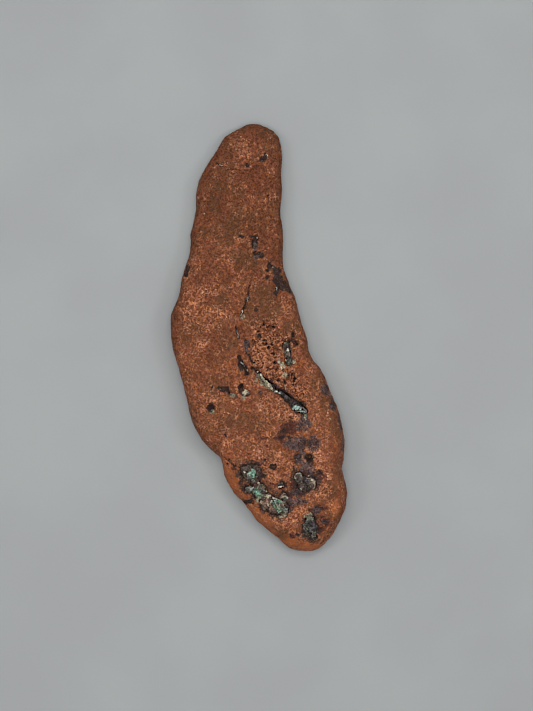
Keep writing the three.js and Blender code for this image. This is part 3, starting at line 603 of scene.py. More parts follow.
# Each mineral's pocket, with how strongly and how far its edge is stained dark.
POCKETS = {
    "malachite_crust": (0.85, 1.7),
    "ring_pit_grains": (0.75, 1.0),
    "grey_crust": (0.85, 1.7),
    "tip_crust": (0.85, 1.6),
    "pale_grain": (0.5, 0.6),
    "upper_green_grains": (0.65, 0.9),
    "vein_filling": (0.6, 0.9),
}


def search_tree(points, mesh):
    """The mesh's faces with their corners at the points, to find places on."""
    faces = [face.vertices for face in mesh.polygons]
    return BVHTree.FromPolygons([Vector(point) for point in points], faces)


# Each pocket is opened down to below the mineral that fills it.
DOWN = Vector((0, 0, -1))
mineral_edge = np.zeros_like(x)
for node, (stain, reach) in POCKETS.items():
    low, high = (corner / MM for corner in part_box(node))
    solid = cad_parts[node].data
    tree = search_tree(read_points(solid), solid)
    near = (on_top > 0) & (points[:, 2] > low.z - 1)
    for axis in (0, 1):
        near &= (points[:, axis] > low[axis] - reach) & (points[:, axis] < high[axis] + reach)
    for index in np.flatnonzero(near):
        over = Vector((x[index], y[index], high.z + 1))
        hit = tree.ray_cast(over, DOWN)[0]
        if hit is None:
            _, _, _, distance = tree.find_nearest(Vector(points[index]))
            mineral_edge[index] = max(mineral_edge[index], stain * max(0, 1 - distance / reach))
            continue
        mineral_edge[index] = 1
        points[index, 2] = min(points[index, 2], hit.z - POCKET_CLEARANCE)
points[:, 2] = np.maximum(points[:, 2], 0)
write_points(copper_mesh, points)
normals = read_normals(copper_mesh)

x, y = warped(points, PATCH_WANDER)
tones = {name: round_patches(x, y, patches) for name, patches in TONE_PATCHES.items()}
tones["soot"] = np.maximum(tones["soot"], np.maximum(soot, mineral_edge))
tones["bright_rim"] = bright_rim
tones = {name: cover * on_top for name, cover in tones.items()}
tones["soot"] = np.maximum(tones["soot"], soot_below * below)
for name, size, rarity, seed in OTHER_SIDES:
    cover = ease(wander(points, size, seed) * OTHER_CONTRAST - rarity)
    tones[name] = np.maximum(tones[name], (1 - on_top) * cover)
# A painted shade on the rim, stronger where the surface faces further down.
tones["painted_rim_shade"] = 1 - between(normals[:, 2], RIM_FACING)
tones["dull"] = between(y, DULL_SPAN)
for name, cover in tones.items():
    store(copper_mesh, name, cover)
copper_mesh.shade_smooth()

# The metal's colours from dark to bright, the brightest of them for painted glints, those of the films
# and skins, and the patterns' sizes.
COPPER_DEEP = srgb(72, 39, 24)
COPPER_DARK = srgb(95, 54, 35)
COPPER_MID = srgb(123, 70, 48)
COPPER_OLIVE = srgb(113, 72, 48)
COPPER_WARM = srgb(158, 98, 70)
COPPER_BRIGHT = srgb(206, 144, 108)
COPPER_PAINTED_GLINT = srgb(248, 206, 174)
FILM_MAROON = srgb(56, 33, 30)
FILM_RED = srgb(90, 52, 43)
FILM_PURPLE = srgb(46, 36, 38)
FILM_GREY = srgb(99, 81, 78)
MINERAL_GREY = srgb(98, 94, 80)
MINERAL_PALE = srgb(182, 174, 146)
SKIN_OLIVE = srgb(82, 57, 37)
SKIN_RED = srgb(121, 70, 46)
SKIN_FRESH = srgb(166, 95, 58)
# The soot colour also serves as the painted shade in the gaps between grains.
SOOT_AND_GAP_SHADE = srgb(46, 37, 35)
SOOT_BROWN = srgb(90, 68, 58)
ZONE_SIZE = 8.0
HUE_SIZE = 2.4
BLOTCH_SIZE = 1.9
CREST_SIZE = 0.75
STROKE_SIZE = 0.62
GRAIN_SIZE = 0.34
FINE_SIZE = 0.2
HUE_GRAIN_SIZE = 0.5

# Single grains are more orange or more rose than their neighbours, as factors of their colour.
ORANGE_TINT = (1.14, 0.95, 0.48, 1.0)
ROSE_TINT = (0.93, 1.02, 1.32, 1.0)


def reading(name):
    """A stored tone of the copper's surface."""
    return place.node("ShaderNodeAttribute", {"attribute_name": name}, None, "Fac")


copper_finish, place = new_material("worn native copper")
zone = place.noise(ZONE_SIZE, 2.0, 1.0)
hue = place.noise(HUE_SIZE, 4.0, 8.0, 0.7)
blotch = place.noise(BLOTCH_SIZE, 3.0, 2.0, 0.55)
stroke = place.noise(STROKE_SIZE, 2.0, 3.0, 0.6, 0.9)
grain = place.noise(GRAIN_SIZE, 2.0, 4.0, 0.6)
fine = place.noise(FINE_SIZE, 1.0, 5.0)
crest = place.noise(CREST_SIZE, 1.5, 6.0, 0.5, 0.7).ridge()
furrow = place.noise(CREST_SIZE, 1.5, 7.0, 0.5, 0.7).ridge()
hue_grain = place.noise(HUE_GRAIN_SIZE, 2.0, 9.0, 0.7)
smooth, fresh, rubbed, hackly = (reading(name) for name in ("smooth", "fresh", "rubbed", "hackly"))
bright_rim, painted_rim_shade, dull = (reading(name) for name in ("bright_rim", "painted_rim_shade", "dull"))
olive = reading("olive").bordered(hue * 0.5 + stroke * 0.5, 2.0, 0.35)

# How strong the small grain is, and the tone, from dark at 0 to bright at 1, as the sum of them all.
lively = 0.54 + rubbed * 0.11 + hackly * 0.22 + (zone - 0.5) * 0.4 + smooth * 0.08 - dull * 0.09
tone = 0.5 + (zone - 0.5) * 0.4 + (blotch - 0.5) * (0.36 - dull * 0.14)
tone = tone + rubbed * 0.1 + bright_rim * 0.15 - dull * 0.16 - hackly * 0.14
# Bright crests and dark furrows in the tone: partly the worn metal's own streaks, partly a painted
# highlight on the raised crests and a painted shade in the sunk furrows.
strokes = crest.rise(0.78, 0.98) * 0.5 - furrow.rise(0.82, 0.98) * 0.32 - 0.06
tone = tone + (strokes + (stroke - 0.5) * 0.4 + (grain - 0.5) * 0.8 + (fine - 0.5) * 0.6) * lively
middle = hue.rise(0.42, 0.6).colour(COPPER_MID, COPPER_OLIVE)
skin = tone.rise(0.0, 0.3).colour(COPPER_DEEP, COPPER_DARK)
for low, high, colour in ((0.18, 0.5, middle), (0.45, 0.8, COPPER_WARM), (0.76, 1.15, COPPER_BRIGHT)):
    skin = tone.rise(low, high).colour(skin, colour)
skin = (smooth * 0.36 * (1 - dull)).colour(skin, SKIN_RED)
skin = (fresh * 0.8).colour(skin, SKIN_FRESH)
skin = (olive * 0.4).colour(skin, SKIN_OLIVE)

# Dark gaps between the grains, partly dark oxide and partly painted shade; bright specks on the
# crests, partly rubbed metal and partly painted highlight; painted glints; and the grains' own hues.
gaps = hackly * 0.3 + bright_rim * 0.45 + rubbed * 0.06
# Painted shade in the gaps between grains, partly dark oxide, strongest in the hackly part and round the
# pits.
dark_gap = furrow.rise(0.86, 0.96) * grain.rise(0.54, 0.44) * gaps
skin = (dark_gap * 0.8).colour(skin, SOOT_AND_GAP_SHADE)
# Where the painted highlights may fall.
lit = blotch + rubbed * 0.12 + hackly * 0.14 + bright_rim * 0.25 - dull * 0.04
speck = crest.rise(0.88, 0.96) * lit.rise(0.46, 0.62) * grain.rise(0.42, 0.54) * lively
skin = (speck * 0.8).colour(skin, COPPER_BRIGHT)
painted_glint = (grain + fine * 0.4 - 0.2).rise(0.66, 0.74) * lit.rise(0.5, 0.62) * (lively + 0.15)
skin = (painted_glint * 0.8).colour(skin, COPPER_PAINTED_GLINT)
skin = hue_grain.rise(0.51, 0.68).tinted(skin, ORANGE_TINT)
skin = hue_grain.rise(0.49, 0.34).tinted(skin, ROSE_TINT)
# Painted shade on the rim where it turns down, stronger at the dull narrow end and none on fresh skin.
skin = (painted_rim_shade * (0.12 + dull * 0.5) * (1 - fresh)).colour(skin, COPPER_DARK)

# The films have ragged borders and are worn through where the metal is brightest.
ragged = stroke * 0.6 + grain * 0.4
maroon = reading("maroon").bordered(ragged, 2.8, 0.12)
purple = reading("purple").bordered(ragged, 2.8, 0.2)
mineral = reading("mineral").bordered(ragged, 2.8, 0.12)
soot = reading("soot").bordered(ragged, 2.7, 0.14)
worn_through = (tone + (fine - 0.5) * 0.6).rise(0.68, 0.95) * 0.45
texture = stroke * 0.4 + grain * 0.3 + fine * 0.3
red_film = texture.rise(0.42, 0.58).colour(FILM_MAROON, FILM_RED)
grey_film = (texture + (blotch - 0.5) * 0.4).rise(0.42, 0.6).colour(FILM_PURPLE, FILM_GREY)
pale_film = texture.rise(0.44, 0.6).colour(MINERAL_GREY, MINERAL_PALE)
sooty = texture.rise(0.5, 0.66).colour(SOOT_AND_GAP_SHADE, SOOT_BROWN)
skin = (maroon * (1 - worn_through) * 0.9).colour(skin, red_film)
skin = (soot * (1 - worn_through * 0.6) * 0.93).colour(skin, sooty)
skin = (purple * (1 - worn_through) * 0.92).colour(skin, grey_film)
skin = (mineral * 0.9).colour(skin, pale_film)

# Bare metal shines, a film doesn't.
covered = place.node("ShaderNodeClamp", None, {"Value": maroon * 0.7 + purple * 0.8 + soot + mineral})
bare = (tone.rise(0.4, 1.0) * 0.5 + painted_glint * 0.4 + speck * 0.3) * (1 - covered)
relief = blotch * 0.2 + stroke * 0.2 * (1 + hackly * 0.8) + grain * 0.1 + fine * 0.03
relief = relief + crest.rise(0.8, 0.96) * 0.04 - furrow.rise(0.84, 0.97) * 0.05
finish_material(place, {
    "Base Color": skin,
    "Metallic": 0.2 + bare * 0.6,
    "Roughness": 0.6 - bare * 0.18 - smooth * 0.06,
    "Specular IOR Level": 0.1,
}, relief)
copper_mesh.materials.append(copper_finish)
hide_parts("copper_nugget")
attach(copper, "root")

# Copper crystals: in the hackly part of the middle small angular crystals of the metal still stand up
# from it, grown on it and only blunted by the wear, with gaps between them.
CRYSTALS = 420

# Half the width of a crystal, the share of it that is sunk, and how hackly a place has to be for one.
CRYSTAL_SIZE = (0.1, 0.26)
CRYSTAL_SINK = 0.35
CRYSTAL_LIKELY = 0.45
CRYSTAL_CHANCE = 0.2
CRYSTAL_UNEVEN = 0.7
CRYSTAL_SEED = 29
PLACES_SEED = 23

# A grain's least and greatest stretch along its three axes, and how close its dents are.
GRAIN_LEAST = (0.6, 0.6, 0.5)
GRAIN_MOST = (1.3, 1.1, 0.9)
GRAIN_DENTS = 0.7


def grain_tree():
    """Angular grains on the points of the input, joined with their bed."""
    tree = bpy.data.node_groups.new("grains on a bed", "GeometryNodeTree")
    kinds = {"Points": "Geometry", "Bed": "Object", "Finish": "Material"}
    kinds |= {"Unevenness": "Float", "Seed": "Int"}
    for name, kind in kinds.items():
        tree.interface.new_socket(name, in_out="INPUT", socket_type=f"NodeSocket{kind}")
    tree.interface.new_socket("Grown", in_out="OUTPUT", socket_type="NodeSocketGeometry")
    start = Wire(tree)
    entry = start.node("NodeGroupInput").socket.node
    given = {socket.name: Wire(tree, socket) for socket in entry.outputs if socket.name}
    ball = start.node("GeometryNodeMeshIcoSphere", None, {"Radius": MM, "Subdivisions": 2})
    dents = {"Vector": start.node("GeometryNodeInputPosition"), "Scale": GRAIN_DENTS / MM, "Detail": 0.0}
    swell = start.node("ShaderNodeTexNoise", None, dents, "Color")
    centred = start.node("ShaderNodeVectorMath", {"operation": "SUBTRACT"}, {0: swell, 1: (0.5, 0.5, 0.5)})
    offset = centred.scaled(given["Unevenness"])
    grain = start.node("GeometryNodeSetPosition", None, {"Geometry": ball, "Offset": offset})
    size = start.node("GeometryNodeInputNamedAttribute", None, {"Name": "size"})
    three = {"data_type": "FLOAT_VECTOR"}
    stretch = {0: GRAIN_LEAST, 1: GRAIN_MOST, "Seed": given["Seed"]}
    scale = start.node("FunctionNodeRandomValue", three, stretch).scaled(size)
    any_way = {0: (0, 0, 0), 1: (math.tau, math.tau, math.tau), "Seed": given["Seed"] + 1}
    turn = start.node("FunctionNodeRandomValue", three, any_way)
    sockets = {"Points": given["Points"], "Instance": grain, "Rotation": turn, "Scale": scale}
    placed = start.node("GeometryNodeInstanceOnPoints", None, sockets)
    real = start.node("GeometryNodeRealizeInstances", None, {"Geometry": placed})
    bed = start.node("GeometryNodeObjectInfo", None, {"Object": given["Bed"]}, "Geometry")
    join = start.node("GeometryNodeJoinGeometry", None, {"Geometry": real})
    tree.links.new(bed.socket, join.socket.node.inputs["Geometry"])
    made = start.node("GeometryNodeSetMaterial", None, {"Geometry": join, "Material": given["Finish"]})
    start.node("NodeGroupOutput", None, {"Grown": made})
    return tree


def grown(name, places, sizes, stored, inputs):
    """A new piece with a grain on each place, in millimetres, that keeps what is stored there."""
    mesh = bpy.data.meshes.new(name)
    mesh.from_pydata([tuple(Vector(spot) * MM) for spot in places], [], [])
    store(mesh, "size", np.array(sizes))
    for value_name, values in stored.items():
        store(mesh, value_name, np.array(values))
    piece = new_object(name, mesh)
    growth = piece.modifiers.new("grains", "NODES")
    growth.node_group = grains_on_bed
    for item in grains_on_bed.interface.items_tree:
        if item.in_out == "INPUT" and item.name in inputs:
            growth[item.identifier] = inputs[item.name]
    settle(piece)
    return piece


grains_on_bed = grain_tree()
random = np.random.default_rng(PLACES_SEED)
likely = tones["hackly"] * on_top - tones["soot"] * 0.6 - mineral_edge
likely = likely + random.uniform(-CRYSTAL_CHANCE, CRYSTAL_CHANCE, len(likely))
hackly_places = np.flatnonzero(likely > CRYSTAL_LIKELY)
chosen = random.choice(hackly_places, min(CRYSTALS, len(hackly_places)), replace=False)
sizes = random.uniform(*CRYSTAL_SIZE, len(chosen))
places = points[chosen] - np.outer(sizes * CRYSTAL_SINK, (0, 0, 1))
bright = np.ones(len(chosen))
inputs = {"Finish": copper_finish, "Unevenness": CRYSTAL_UNEVEN * MM, "Seed": CRYSTAL_SEED}
stored = {"rubbed": bright, "hackly": bright * 0.5}
crystals = grown("copper_crystals", places, sizes, stored, inputs)
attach(crystals, "root")

# The malachite crust: green, tan and white crystals of copper carbonates, cuprite and quartz that grew
# together in the long hollow of the lower left, on a dark ground, with painted highlights on its
# glassy grains. It is made as a mosaic of angular crystals on the frame's solid, with small loose ones
# on top.
BED_VOXEL = 0.1
BED_SMOOTH_PASSES = 3

# How far the mosaic grows past the solid, so that it reaches the pocket's floor, and the turns that
# it takes to undo the wandering of the pocket's border.
BED_SHIFT = 0.1
WARP_TURNS = 3

# Each crystal's width, how much higher or lower than its neighbours it stands, how far it leans, and
# the gaps between them: their width, their depth and their painted shade.
CRYSTAL_WIDTH = 0.36
CRYSTAL_STEP = 0.17
CRYSTAL_TILT = 0.3
GAP_WIDTH = 0.1
GAP_DEPTH = 0.08
GAP_SHADE = 0.65

# The pale raised edges of large crystals, and how their line and that of the patches wander.
RIM_WIDTH = 0.1
RIM_HEIGHT = 0.07
MOSAIC_WANDER = [(1.0, 0.12, 61), (0.4, 0.08, 63)]

# Some crystals are much darker, and all differ a little in shade.
DARK_SHARE = 0.2
DARK_SHADE = 0.5
TINT_CHANGE = 0.25
PATCH_EDGE = 0.8
PATCH_RAGGED = 0.45
MOTTLE_SIZE = 0.4
SPARKLE_SIZE = 0.15

# Loose grains: how many on each patch, half their width, how their shade varies, and how high over
# the crust their places are looked for from.
LOOSE_PER_PATCH = 7
LOOSE_SIZE = (0.05, 0.13)
LOOSE_TINT = (0.8, 1.5)
LOOSE_UNEVEN = 0.9
ABOVE_ALL = 20.0

# Colours of the crusts. The white is a white mineral and also a painted highlight on glassy grains.
WHITE_AND_GLINT = (226, 224, 208)
TAN = (198, 186, 162)
PINK = (152, 118, 98)
MINT = (146, 192, 168)
GREEN = (112, 144, 121)
KHAKI = (122, 130, 110)
GREY = (112, 112, 102)
MOSS = (82, 78, 67)
BROWN = (86, 67, 58)
BLACK = (54, 46, 44)
TAUPE = (116, 96, 86)
CREAM = (184, 176, 148)
ICE = (168, 174, 170)
TURQUOISE = (174, 202, 192)
SLATE = (84, 78, 80)
MAROON = (86, 58, 51)
PURPLE = (104, 90, 90)


def crystals_at(points, size, seed):
    """For each point, the middle of the angular crystal it is in and how far it is from the border."""
    shift = Vector((seed * 3.7, seed * 5.3, seed * 7.9))
    middles, borders = [], []
    for point in points:
        distances, features = noise.voronoi(Vector(point) / size + shift)
        middles.append((features[0] - shift) * size)
        borders.append((distances[1] - distances[0]) * size)
    return np.array(middles), np.array(borders)


def chance(places, seed):
    """A number from 0 to 1 for each place, the same wherever the place is the same."""
    mixed = np.sin(places @ np.array((12.99, 78.23, 37.72)) + seed) * 43758.5
    return mixed - np.floor(mixed)


def mosaic(points, ground, patches, rims, seed):
    """Height over the solid and colour at each point of a crust. Patches of one mineral are
    [x, y, half width, half length, colour], and rims are (path, colour)."""
    middles, borders = crystals_at(points, CRYSTAL_WIDTH, seed)
    step, shade, dark, lean = (chance(middles, 1.7 * seed + n) for n in range(4))
    colours = np.tile(np.array(srgb(*ground)), (len(points), 1))
    for *patch, colour in patches:
        distance = off_centre(middles[:, 0], middles[:, 1], *patch)
        colours[distance < PATCH_EDGE + PATCH_RAGGED * step] = srgb(*colour)
    colours[:, :3] *= (1 + TINT_CHANGE * 2 * (shade - 0.5))[:, None]
    colours[dark < DARK_SHARE, :3] *= DARK_SHADE
    turn = lean * math.tau
    across, along, _ = (points - middles).T
    tilt = across * np.cos(turn) + along * np.sin(turn)
    gap = ease(1 - borders / GAP_WIDTH)
    height = BED_SHIFT + CRYSTAL_STEP * (step - 0.5) + CRYSTAL_TILT * tilt - GAP_DEPTH * gap
    # Painted shade in the gaps between crystals.
    colours[:, :3] *= (1 - GAP_SHADE * gap)[:, None]
    x, y = warped(points, MOSAIC_WANDER)
    for path, colour in rims:
        distance, _ = beside_path(x, y, path)
        band = ease(1.2 - distance / RIM_WIDTH) * (0.35 + 0.65 * step)
        colours = colours * (1 - band[:, None]) + np.outer(band, srgb(*colour))
        height += RIM_HEIGHT * band
    return height, colours


# What a crystal's colour is multiplied by where its mottle is darkest, and as a painted highlight
# where it sparkles.
SHADED = (0.4, 0.38, 0.36, 1.0)
LIT = (1.7, 1.7, 1.65, 1.0)


def crust_finish():
    """Each crystal keeps its own stored colour, mottled, with painted highlights where it sparkles, and is
    dull or glassy in turn.
    """
    material, place = new_material("grown minerals")
    tint = place.node("ShaderNodeAttribute", {"attribute_name": "tint"}, None, "Color")
    mottle = place.noise(MOTTLE_SIZE, 3.0, 1.0, 0.65)
    sparkle = place.noise(SPARKLE_SIZE, 2.0, 2.0)
    colour = mottle.rise(0.5, 0.36).tinted(tint, SHADED)
    colour = sparkle.rise(0.54, 0.68).tinted(colour, LIT)
    finish_material(place, {
        "Base Color": colour,
        "Roughness": 0.35 + mottle.rise(0.4, 0.6) * 0.35,
        "Coat Weight": sparkle.rise(0.5, 0.62) * 0.4,
        "Specular IOR Level": 0.3,
    }, mottle * 0.1 + sparkle * 0.05)
    return material


mineral_finish = crust_finish()


def loose_grains(places, colour, number, size, reach, tree):
    """Small loose grains about each place, as the place, size and colour of each."""
    made = []
    for centre_x, centre_y in places:
        for _ in range(number):
            turn = random.uniform(0, math.tau)
            away = math.sqrt(random.uniform(0, 1))
            across, along = reach[0] * away * math.cos(turn), reach[1] * away * math.sin(turn)
            half = random.uniform(*size)
            lighter = random.uniform(*LOOSE_TINT)
            hit = tree.ray_cast(Vector((centre_x + across, centre_y + along, ABOVE_ALL)), DOWN)[0]
            if hit is not None:
                tint = [min(1.0, value * lighter) for value in srgb(*colour)[:3]]
                made.append((hit, half, (*tint, 1.0)))
    return made


def grow_crust(node, ground, patches, seed, rims=()):
    """One crust in place of its solid in the frame."""
    bed = piece_from(node, f"{node}_bed")
    bed_mesh = even_mesh(bed, BED_VOXEL)
    write_points(bed_mesh, smoothed(bed_mesh, BED_SMOOTH_PASSES))
    bed_points, bed_normals = read_points(bed_mesh), read_normals(bed_mesh)
    height, colours = mosaic(bed_points, ground, patches, rims, seed)

    # The pocket was cut along a wandering border, so the crust is moved to where that border is.
    moved = bed_points.copy()
    for _ in range(WARP_TURNS):
        shift = np.stack(warped(moved, HOLLOW_WANDER), axis=1) - moved[:, :2]
        moved[:, :2] = bed_points[:, :2] - shift
    bed_points = moved + bed_normals * height[:, None]
    write_points(bed_mesh, bed_points)
    store(bed_mesh, "tint", colours)
    tree = search_tree(bed_points, bed_mesh)
    grains = []
    for *centre, half_x, half_y, colour in patches:
        grains += loose_grains([centre], colour, LOOSE_PER_PATCH, LOOSE_SIZE, (half_x, half_y), tree)
    places, sizes, tints = zip(*grains)
    inputs = {"Bed": bed, "Finish": mineral_finish, "Unevenness": LOOSE_UNEVEN * MM, "Seed": seed}
    piece = grown(f"{node}_grown", places, sizes, {"tint": np.array(tints)}, inputs)
    bpy.data.objects.remove(bed)
    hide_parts(node)
    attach(piece, "root")


grow_crust("malachite_crust", BROWN, [
    [-2.3, -24.1, 0.9, 0.5, TAUPE], [-0.4, -23.9, 0.9, 0.5, BROWN], [-3.1, -25.6, 0.5, 0.8, MOSS],
    [-1.8, -25.8, 0.45, 0.6, GREY], [-1.3, -25.4, 0.5, 0.75, GREEN], [-1.1, -25.3, 0.45, 0.8, MINT],
    [-1.9, -25.4, 0.25, 0.22, ICE], [-2.6, -24.9, 0.16, 0.16, WHITE_AND_GLINT], [-0.3, -25.8, 0.3, 0.35, GREY],
    [-1.1, -26.6, 0.4, 0.25, GREY], [-1, -27.3, 0.7, 0.4, MAROON], [-2.1, -28, 0.7, 0.6, GREY],
    [-2, -28.3, 0.3, 0.35, MOSS], [-1.4, -28.1, 0.3, 0.25, ICE], [0.5, -27.7, 0.7, 0.7, GREY],
    [0.7, -27.8, 0.35, 0.3, PINK], [0.2, -27, 0.3, 0.22, TAN], [-0.2, -28.7, 0.5, 0.55, GREEN],
    [0.1, -29.3, 0.5, 0.45, KHAKI], [-0.5, -28.1, 0.3, 0.25, GREEN], [-0.3, -28.5, 0.22, 0.25, MINT],
    [0.1, -28.9, 0.2, 0.3, MINT], [1.6, -29.4, 0.6, 0.4, TAN], [2.5, -28.9, 0.25, 0.2, WHITE_AND_GLINT],
    [1.2, -29.6, 0.35, 0.35, CREAM], [1.4, -30.6, 0.8, 0.85, PINK], [2.2, -31.6, 0.5, 0.5, PINK],
    [1.8, -31, 0.3, 0.4, TAN], [2.7, -31.9, 0.4, 0.35, TAUPE], [2.7, -29.8, 0.22, 0.16, WHITE_AND_GLINT],
    [2.3, -30.6, 0.16, 0.2, WHITE_AND_GLINT], [2.6, -30.3, 0.22, 0.25, BLACK], [3.1, -30.3, 0.35, 0.4, ICE],
    [0.4, -30.4, 0.22, 0.4, TAN], [3.5, -31.2, 0.75, 0.85, GREEN], [4, -31.8, 0.65, 0.6, KHAKI],
    [3.7, -30.2, 0.5, 0.35, GREEN], [3.6, -32.2, 0.25, 0.4, MINT], [4.1, -30.5, 0.25, 0.2, MINT],
    [3.4, -31, 0.3, 0.25, MOSS], [4.5, -31.1, 0.22, 0.45, PINK], [4.7, -30.4, 0.25, 0.4, GREY],
    [5, -32.1, 0.35, 0.4, ICE], [4.8, -33, 0.5, 0.4, GREY], [4.3, -29.5, 0.45, 0.4, PINK],
    [4.8, -29.7, 0.4, 0.3, GREY], [3.1, -33.1, 0.8, 0.4, MOSS],
], rims=[
    ([[-2.7, -27.8], [-2.2, -27.5], [-1.6, -27.9], [-1.4, -28.5], [-1.8, -28.8]], GREY),
    ([[-0.3, -28], [-0.2, -27.3], [0.2, -26.8], [0.7, -27.2], [1.2, -27.8], [1.3, -28.4]], CREAM),
    ([[3.9, -28.9], [3.7, -28.7], [4.1, -28.6]], TAN),
    ([[4.3, -29.5], [5, -29.8], [5.3, -29.4], [4.8, -29]], TAN),
    ([[3.3, -30.3], [3.2, -30.8], [3.5, -31.4]], CREAM), ([[4.3, -30.5], [4.7, -31.4]], TAN),
    ([[0.7, -30.3], [0.7, -31.2], [1.4, -32]], GREY), ([[4.9, -31.8], [5, -32.7]], ICE),
], seed=3)

# The grains of the ring pit: a ring of dark crystals round a few white ones, grown in a small round
# hollow beside the malachite. The white ones are partly a painted highlight.
grow_crust("ring_pit_grains", BLACK, [
    [4.2, -27.7, 0.15, 0.14, WHITE_AND_GLINT], [4.8, -27.6, 0.14, 0.18, PINK], [3.9, -27, 0.3, 0.25, SLATE],
    [4.5, -27, 0.22, 0.22, SLATE],
], rims=[
    ([[3.6, -27.8], [3.6, -27.1], [4.2, -26.7], [4.8, -27.1]], GREY),
], seed=5)

# The grey crust: two large glassy crystals with cream edges, likely quartz or calcite, and smaller
# brown ones, grown together in the hollow to the right.
grow_crust("grey_crust", BROWN, [
    [7.4, -25.8, 0.6, 0.6, GREY], [7.4, -25.8, 0.3, 0.3, BROWN], [7.8, -27.3, 0.7, 0.8, TAUPE],
    [9.5, -27.3, 0.9, 1, TAUPE], [9.1, -26.9, 0.3, 0.4, SLATE], [8.6, -26.7, 0.22, 0.8, BLACK],
    [9, -28, 0.4, 0.35, BLACK], [9.9, -26.8, 0.3, 0.3, TAN], [7.3, -28.2, 0.4, 0.22, ICE],
], rims=[
    ([[7, -26.2], [6.8, -25.7], [7.2, -25.2], [7.7, -25.3], [8, -25.8]], TAN),
    ([[9.1, -26.4], [9.9, -26.5], [10.4, -27], [10.5, -27.4], [10.2, -28.1]], TAN),
    ([[9.7, -26.8], [9.8, -27.3], [9.1, -28.2]], GREY),
], seed=7)

# The crust of the tip: dark grey-green crystals in upright streaks with black gaps, grown in the
# hollow of the broad end.
grow_crust("tip_crust", BLACK, [
    [9.3, -33.3, 0.8, 0.6, KHAKI], [8.8, -33.9, 0.4, 0.5, GREY], [9.9, -33.1, 0.3, 0.25, ICE],
    [8.7, -34.9, 0.35, 0.8, GREY], [10, -34.4, 0.5, 0.5, SLATE], [10.4, -35.1, 0.4, 0.6, SLATE],
    [9.2, -34.9, 0.25, 0.8, BLACK], [9.6, -35.5, 0.3, 0.7, GREY], [8.8, -36.3, 0.35, 0.5, MOSS],
    [10.1, -36.4, 0.4, 0.5, GREY], [10, -36.8, 0.16, 0.25, GREY], [9.5, -37.2, 0.3, 0.3, MOSS],
    [9.4, -36.3, 0.16, 0.4, BLACK],
], rims=[
    ([[8.6, -33.6], [8.5, -34.8], [8.7, -35.9]], GREY), ([[9, -34.2], [9.5, -35.1], [9.9, -36.3]], GREY),
    ([[8.9, -33.2], [9.5, -33], [9.9, -33.4]], ICE), ([[10.1, -34], [10.4, -34.9]], SLATE),
    ([[9.6, -36.6], [10, -37.4]], GREY), ([[9, -34.6], [9.2, -35.7]], BLACK),
], seed=9)

# The pale grain: one cream-green crystal with a few splinters of its kind, grown on the metal in a
# small pit left of the crack.
grow_crust("pale_grain", GREY, [
    [-2.3, -10, 0.4, 0.3, CREAM], [-2.7, -10.4, 0.3, 0.3, TAN], [-1.9, -10.7, 0.25, 0.22, GREY],
    [-2.9, -10.8, 0.22, 0.22, SLATE],
], seed=13)

# The grey-green grains: small dull crystals and a few pale ones, grown together in a ragged pit above
# the crack and to its right.
grow_crust("upper_green_grains", MOSS, [
    [4.9, -1, 0.25, 0.3, TAN], [5.1, -1.7, 0.4, 0.35, BROWN], [5.2, -2.3, 0.3, 0.3, WHITE_AND_GLINT],
    [5.5, -3.1, 0.35, 0.45, TAUPE], [4.9, -4.2, 0.3, 0.35, CREAM], [5.8, -4.5, 0.45, 0.4, GREY],
    [5.4, -3.8, 0.3, 0.3, SLATE],
], seed=17)

# The filling of the slanting crack, grown from its walls: white splinters at its thin end, then a
# cream-green lens, dark slate-like sides, and a turquoise grain in the hollow that it ends in. Its
# white bits are partly painted highlights.
grow_crust("vein_filling", BLACK, [
    [-1, -5.9, 0.2, 0.16, ICE], [-0.4, -6.4, 0.22, 0.16, WHITE_AND_GLINT], [0.4, -7.1, 0.25, 0.2, WHITE_AND_GLINT],
    [0.8, -7.9, 0.5, 0.4, CREAM], [1.3, -8.6, 0.5, 0.45, CREAM], [1.9, -9.2, 0.5, 0.4, TAN],
    [2.4, -9.6, 0.35, 0.25, TAN], [3.1, -9.8, 0.35, 0.22, GREY], [3.3, -10, 0.25, 0.16, WHITE_AND_GLINT],
    [3.9, -10.4, 0.25, 0.16, ICE], [4.3, -10, 0.5, 0.3, SLATE], [5.2, -10.9, 0.5, 0.35, SLATE],
    [6, -11.7, 0.3, 0.3, MAROON], [6.8, -13, 0.5, 0.42, TURQUOISE], [7.7, -13.2, 0.16, 0.2, WHITE_AND_GLINT],
    [7.8, -13.8, 0.25, 0.12, ICE], [8.3, -13.6, 0.12, 0.25, SLATE], [7.3, -13.8, 0.25, 0.16, GREEN],
], rims=[
    ([[7.6, -12.9], [8.2, -13.2], [8.5, -13.8], [8.1, -14.1]], ICE),
], seed=19)
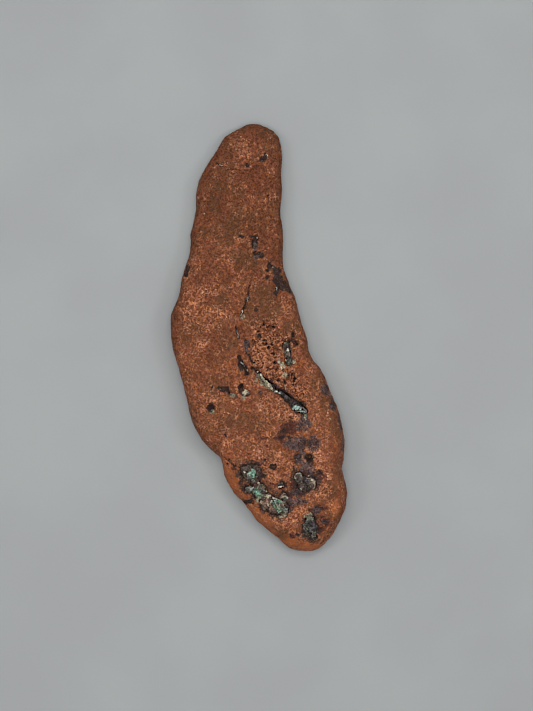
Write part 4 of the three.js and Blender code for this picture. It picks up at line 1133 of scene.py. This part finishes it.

# Mineral specks: pale, grey and green grains of the same minerals that grew or caught in the grooves
# and small pits, the white ones partly painted highlights. Each streak is [x, y, x, y, half width, how
# many, colour], from end to end.
SPECK_SIZE = (0.035, 0.1)
SPECK_SEED = 37
SPECK_STREAKS = [
    [-2.1, 7.6, -2.1, 6.5, 0.1, 26, ICE], [-2.2, 6.4, -2.6, 5.4, 0.1, 8, SLATE],
    [-3, 4.9, -3.1, 4.2, 0.12, 18, WHITE_AND_GLINT], [-3.2, 4.1, -2.8, 3.6, 0.2, 12, GREY],
    # The pale streak at 3.3, 9 on the black film is a painted highlight.
    [3.3, 9.3, 3.3, 8.6, 0.1, 16, ICE], [-4, 1.2, -3.8, -0.1, 0.14, 26, ICE],
    [-7.4, 32, -6.7, 31.8, 0.1, 12, TAN], [-5.9, 31.4, -5, 31.1, 0.07, 8, GREY],
    [-2.3, -1.2, -2.2, -2.7, 0.2, 34, PURPLE], [-3.3, -4.6, -2.6, -5.3, 0.16, 24, ICE],
    [-2.2, -5.9, -2, -6.3, 0.12, 10, ICE], [3.6, -4.6, 4.3, -5.3, 0.22, 34, CREAM],
    [4.2, -5.5, 4.2, -6, 0.12, 12, WHITE_AND_GLINT], [3.1, -4.4, 3.3, -4.9, 0.2, 12, SLATE],
    [5.1, -6.6, 5.2, -7.2, 0.15, 16, CREAM], [4.8, -8.8, 4.9, -9.2, 0.1, 8, GREY],
    [-8.5, -13.4, -8.9, -14.1, 0.2, 20, GREY], [-6.2, -10, -5.3, -10.8, 0.15, 20, SLATE],
    [-4.9, -10.9, -4, -10.9, 0.15, 14, GREY], [8.7, -13.8, 8.8, -15.1, 0.1, 20, GREY],
    [6.3, -31, 7.4, -30.3, 0.16, 26, PURPLE], [-0.8, 17.1, -0.7, 16.5, 0.25, 14, MOSS],
    [-0.3, 18.6, -0.3, 18.1, 0.08, 6, TAN], [1.4, 33.9, 1.6, 33.5, 0.15, 8, TAN],
    [-1, -6.6, 0.1, -7.6, 0.25, 16, GREY], [-0.6, -7.9, -0.2, -8.5, 0.25, 10, GREY],
]

copper_tree = search_tree(points, copper_mesh)
grains = []
for ax, ay, bx, by, half_width, number, colour in SPECK_STREAKS:
    shares = random.uniform(0, 1, number)
    middles = [(ax * (1 - share) + bx * share, ay * (1 - share) + by * share) for share in shares]
    grains += loose_grains(middles, colour, 1, SPECK_SIZE, (half_width, half_width), copper_tree)
places, sizes, tints = zip(*grains)
inputs = {"Finish": mineral_finish, "Unevenness": LOOSE_UNEVEN * MM, "Seed": SPECK_SEED}
specks = grown("groove_mineral_specks", places, sizes, {"tint": np.array(tints)}, inputs)
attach(specks, "root")
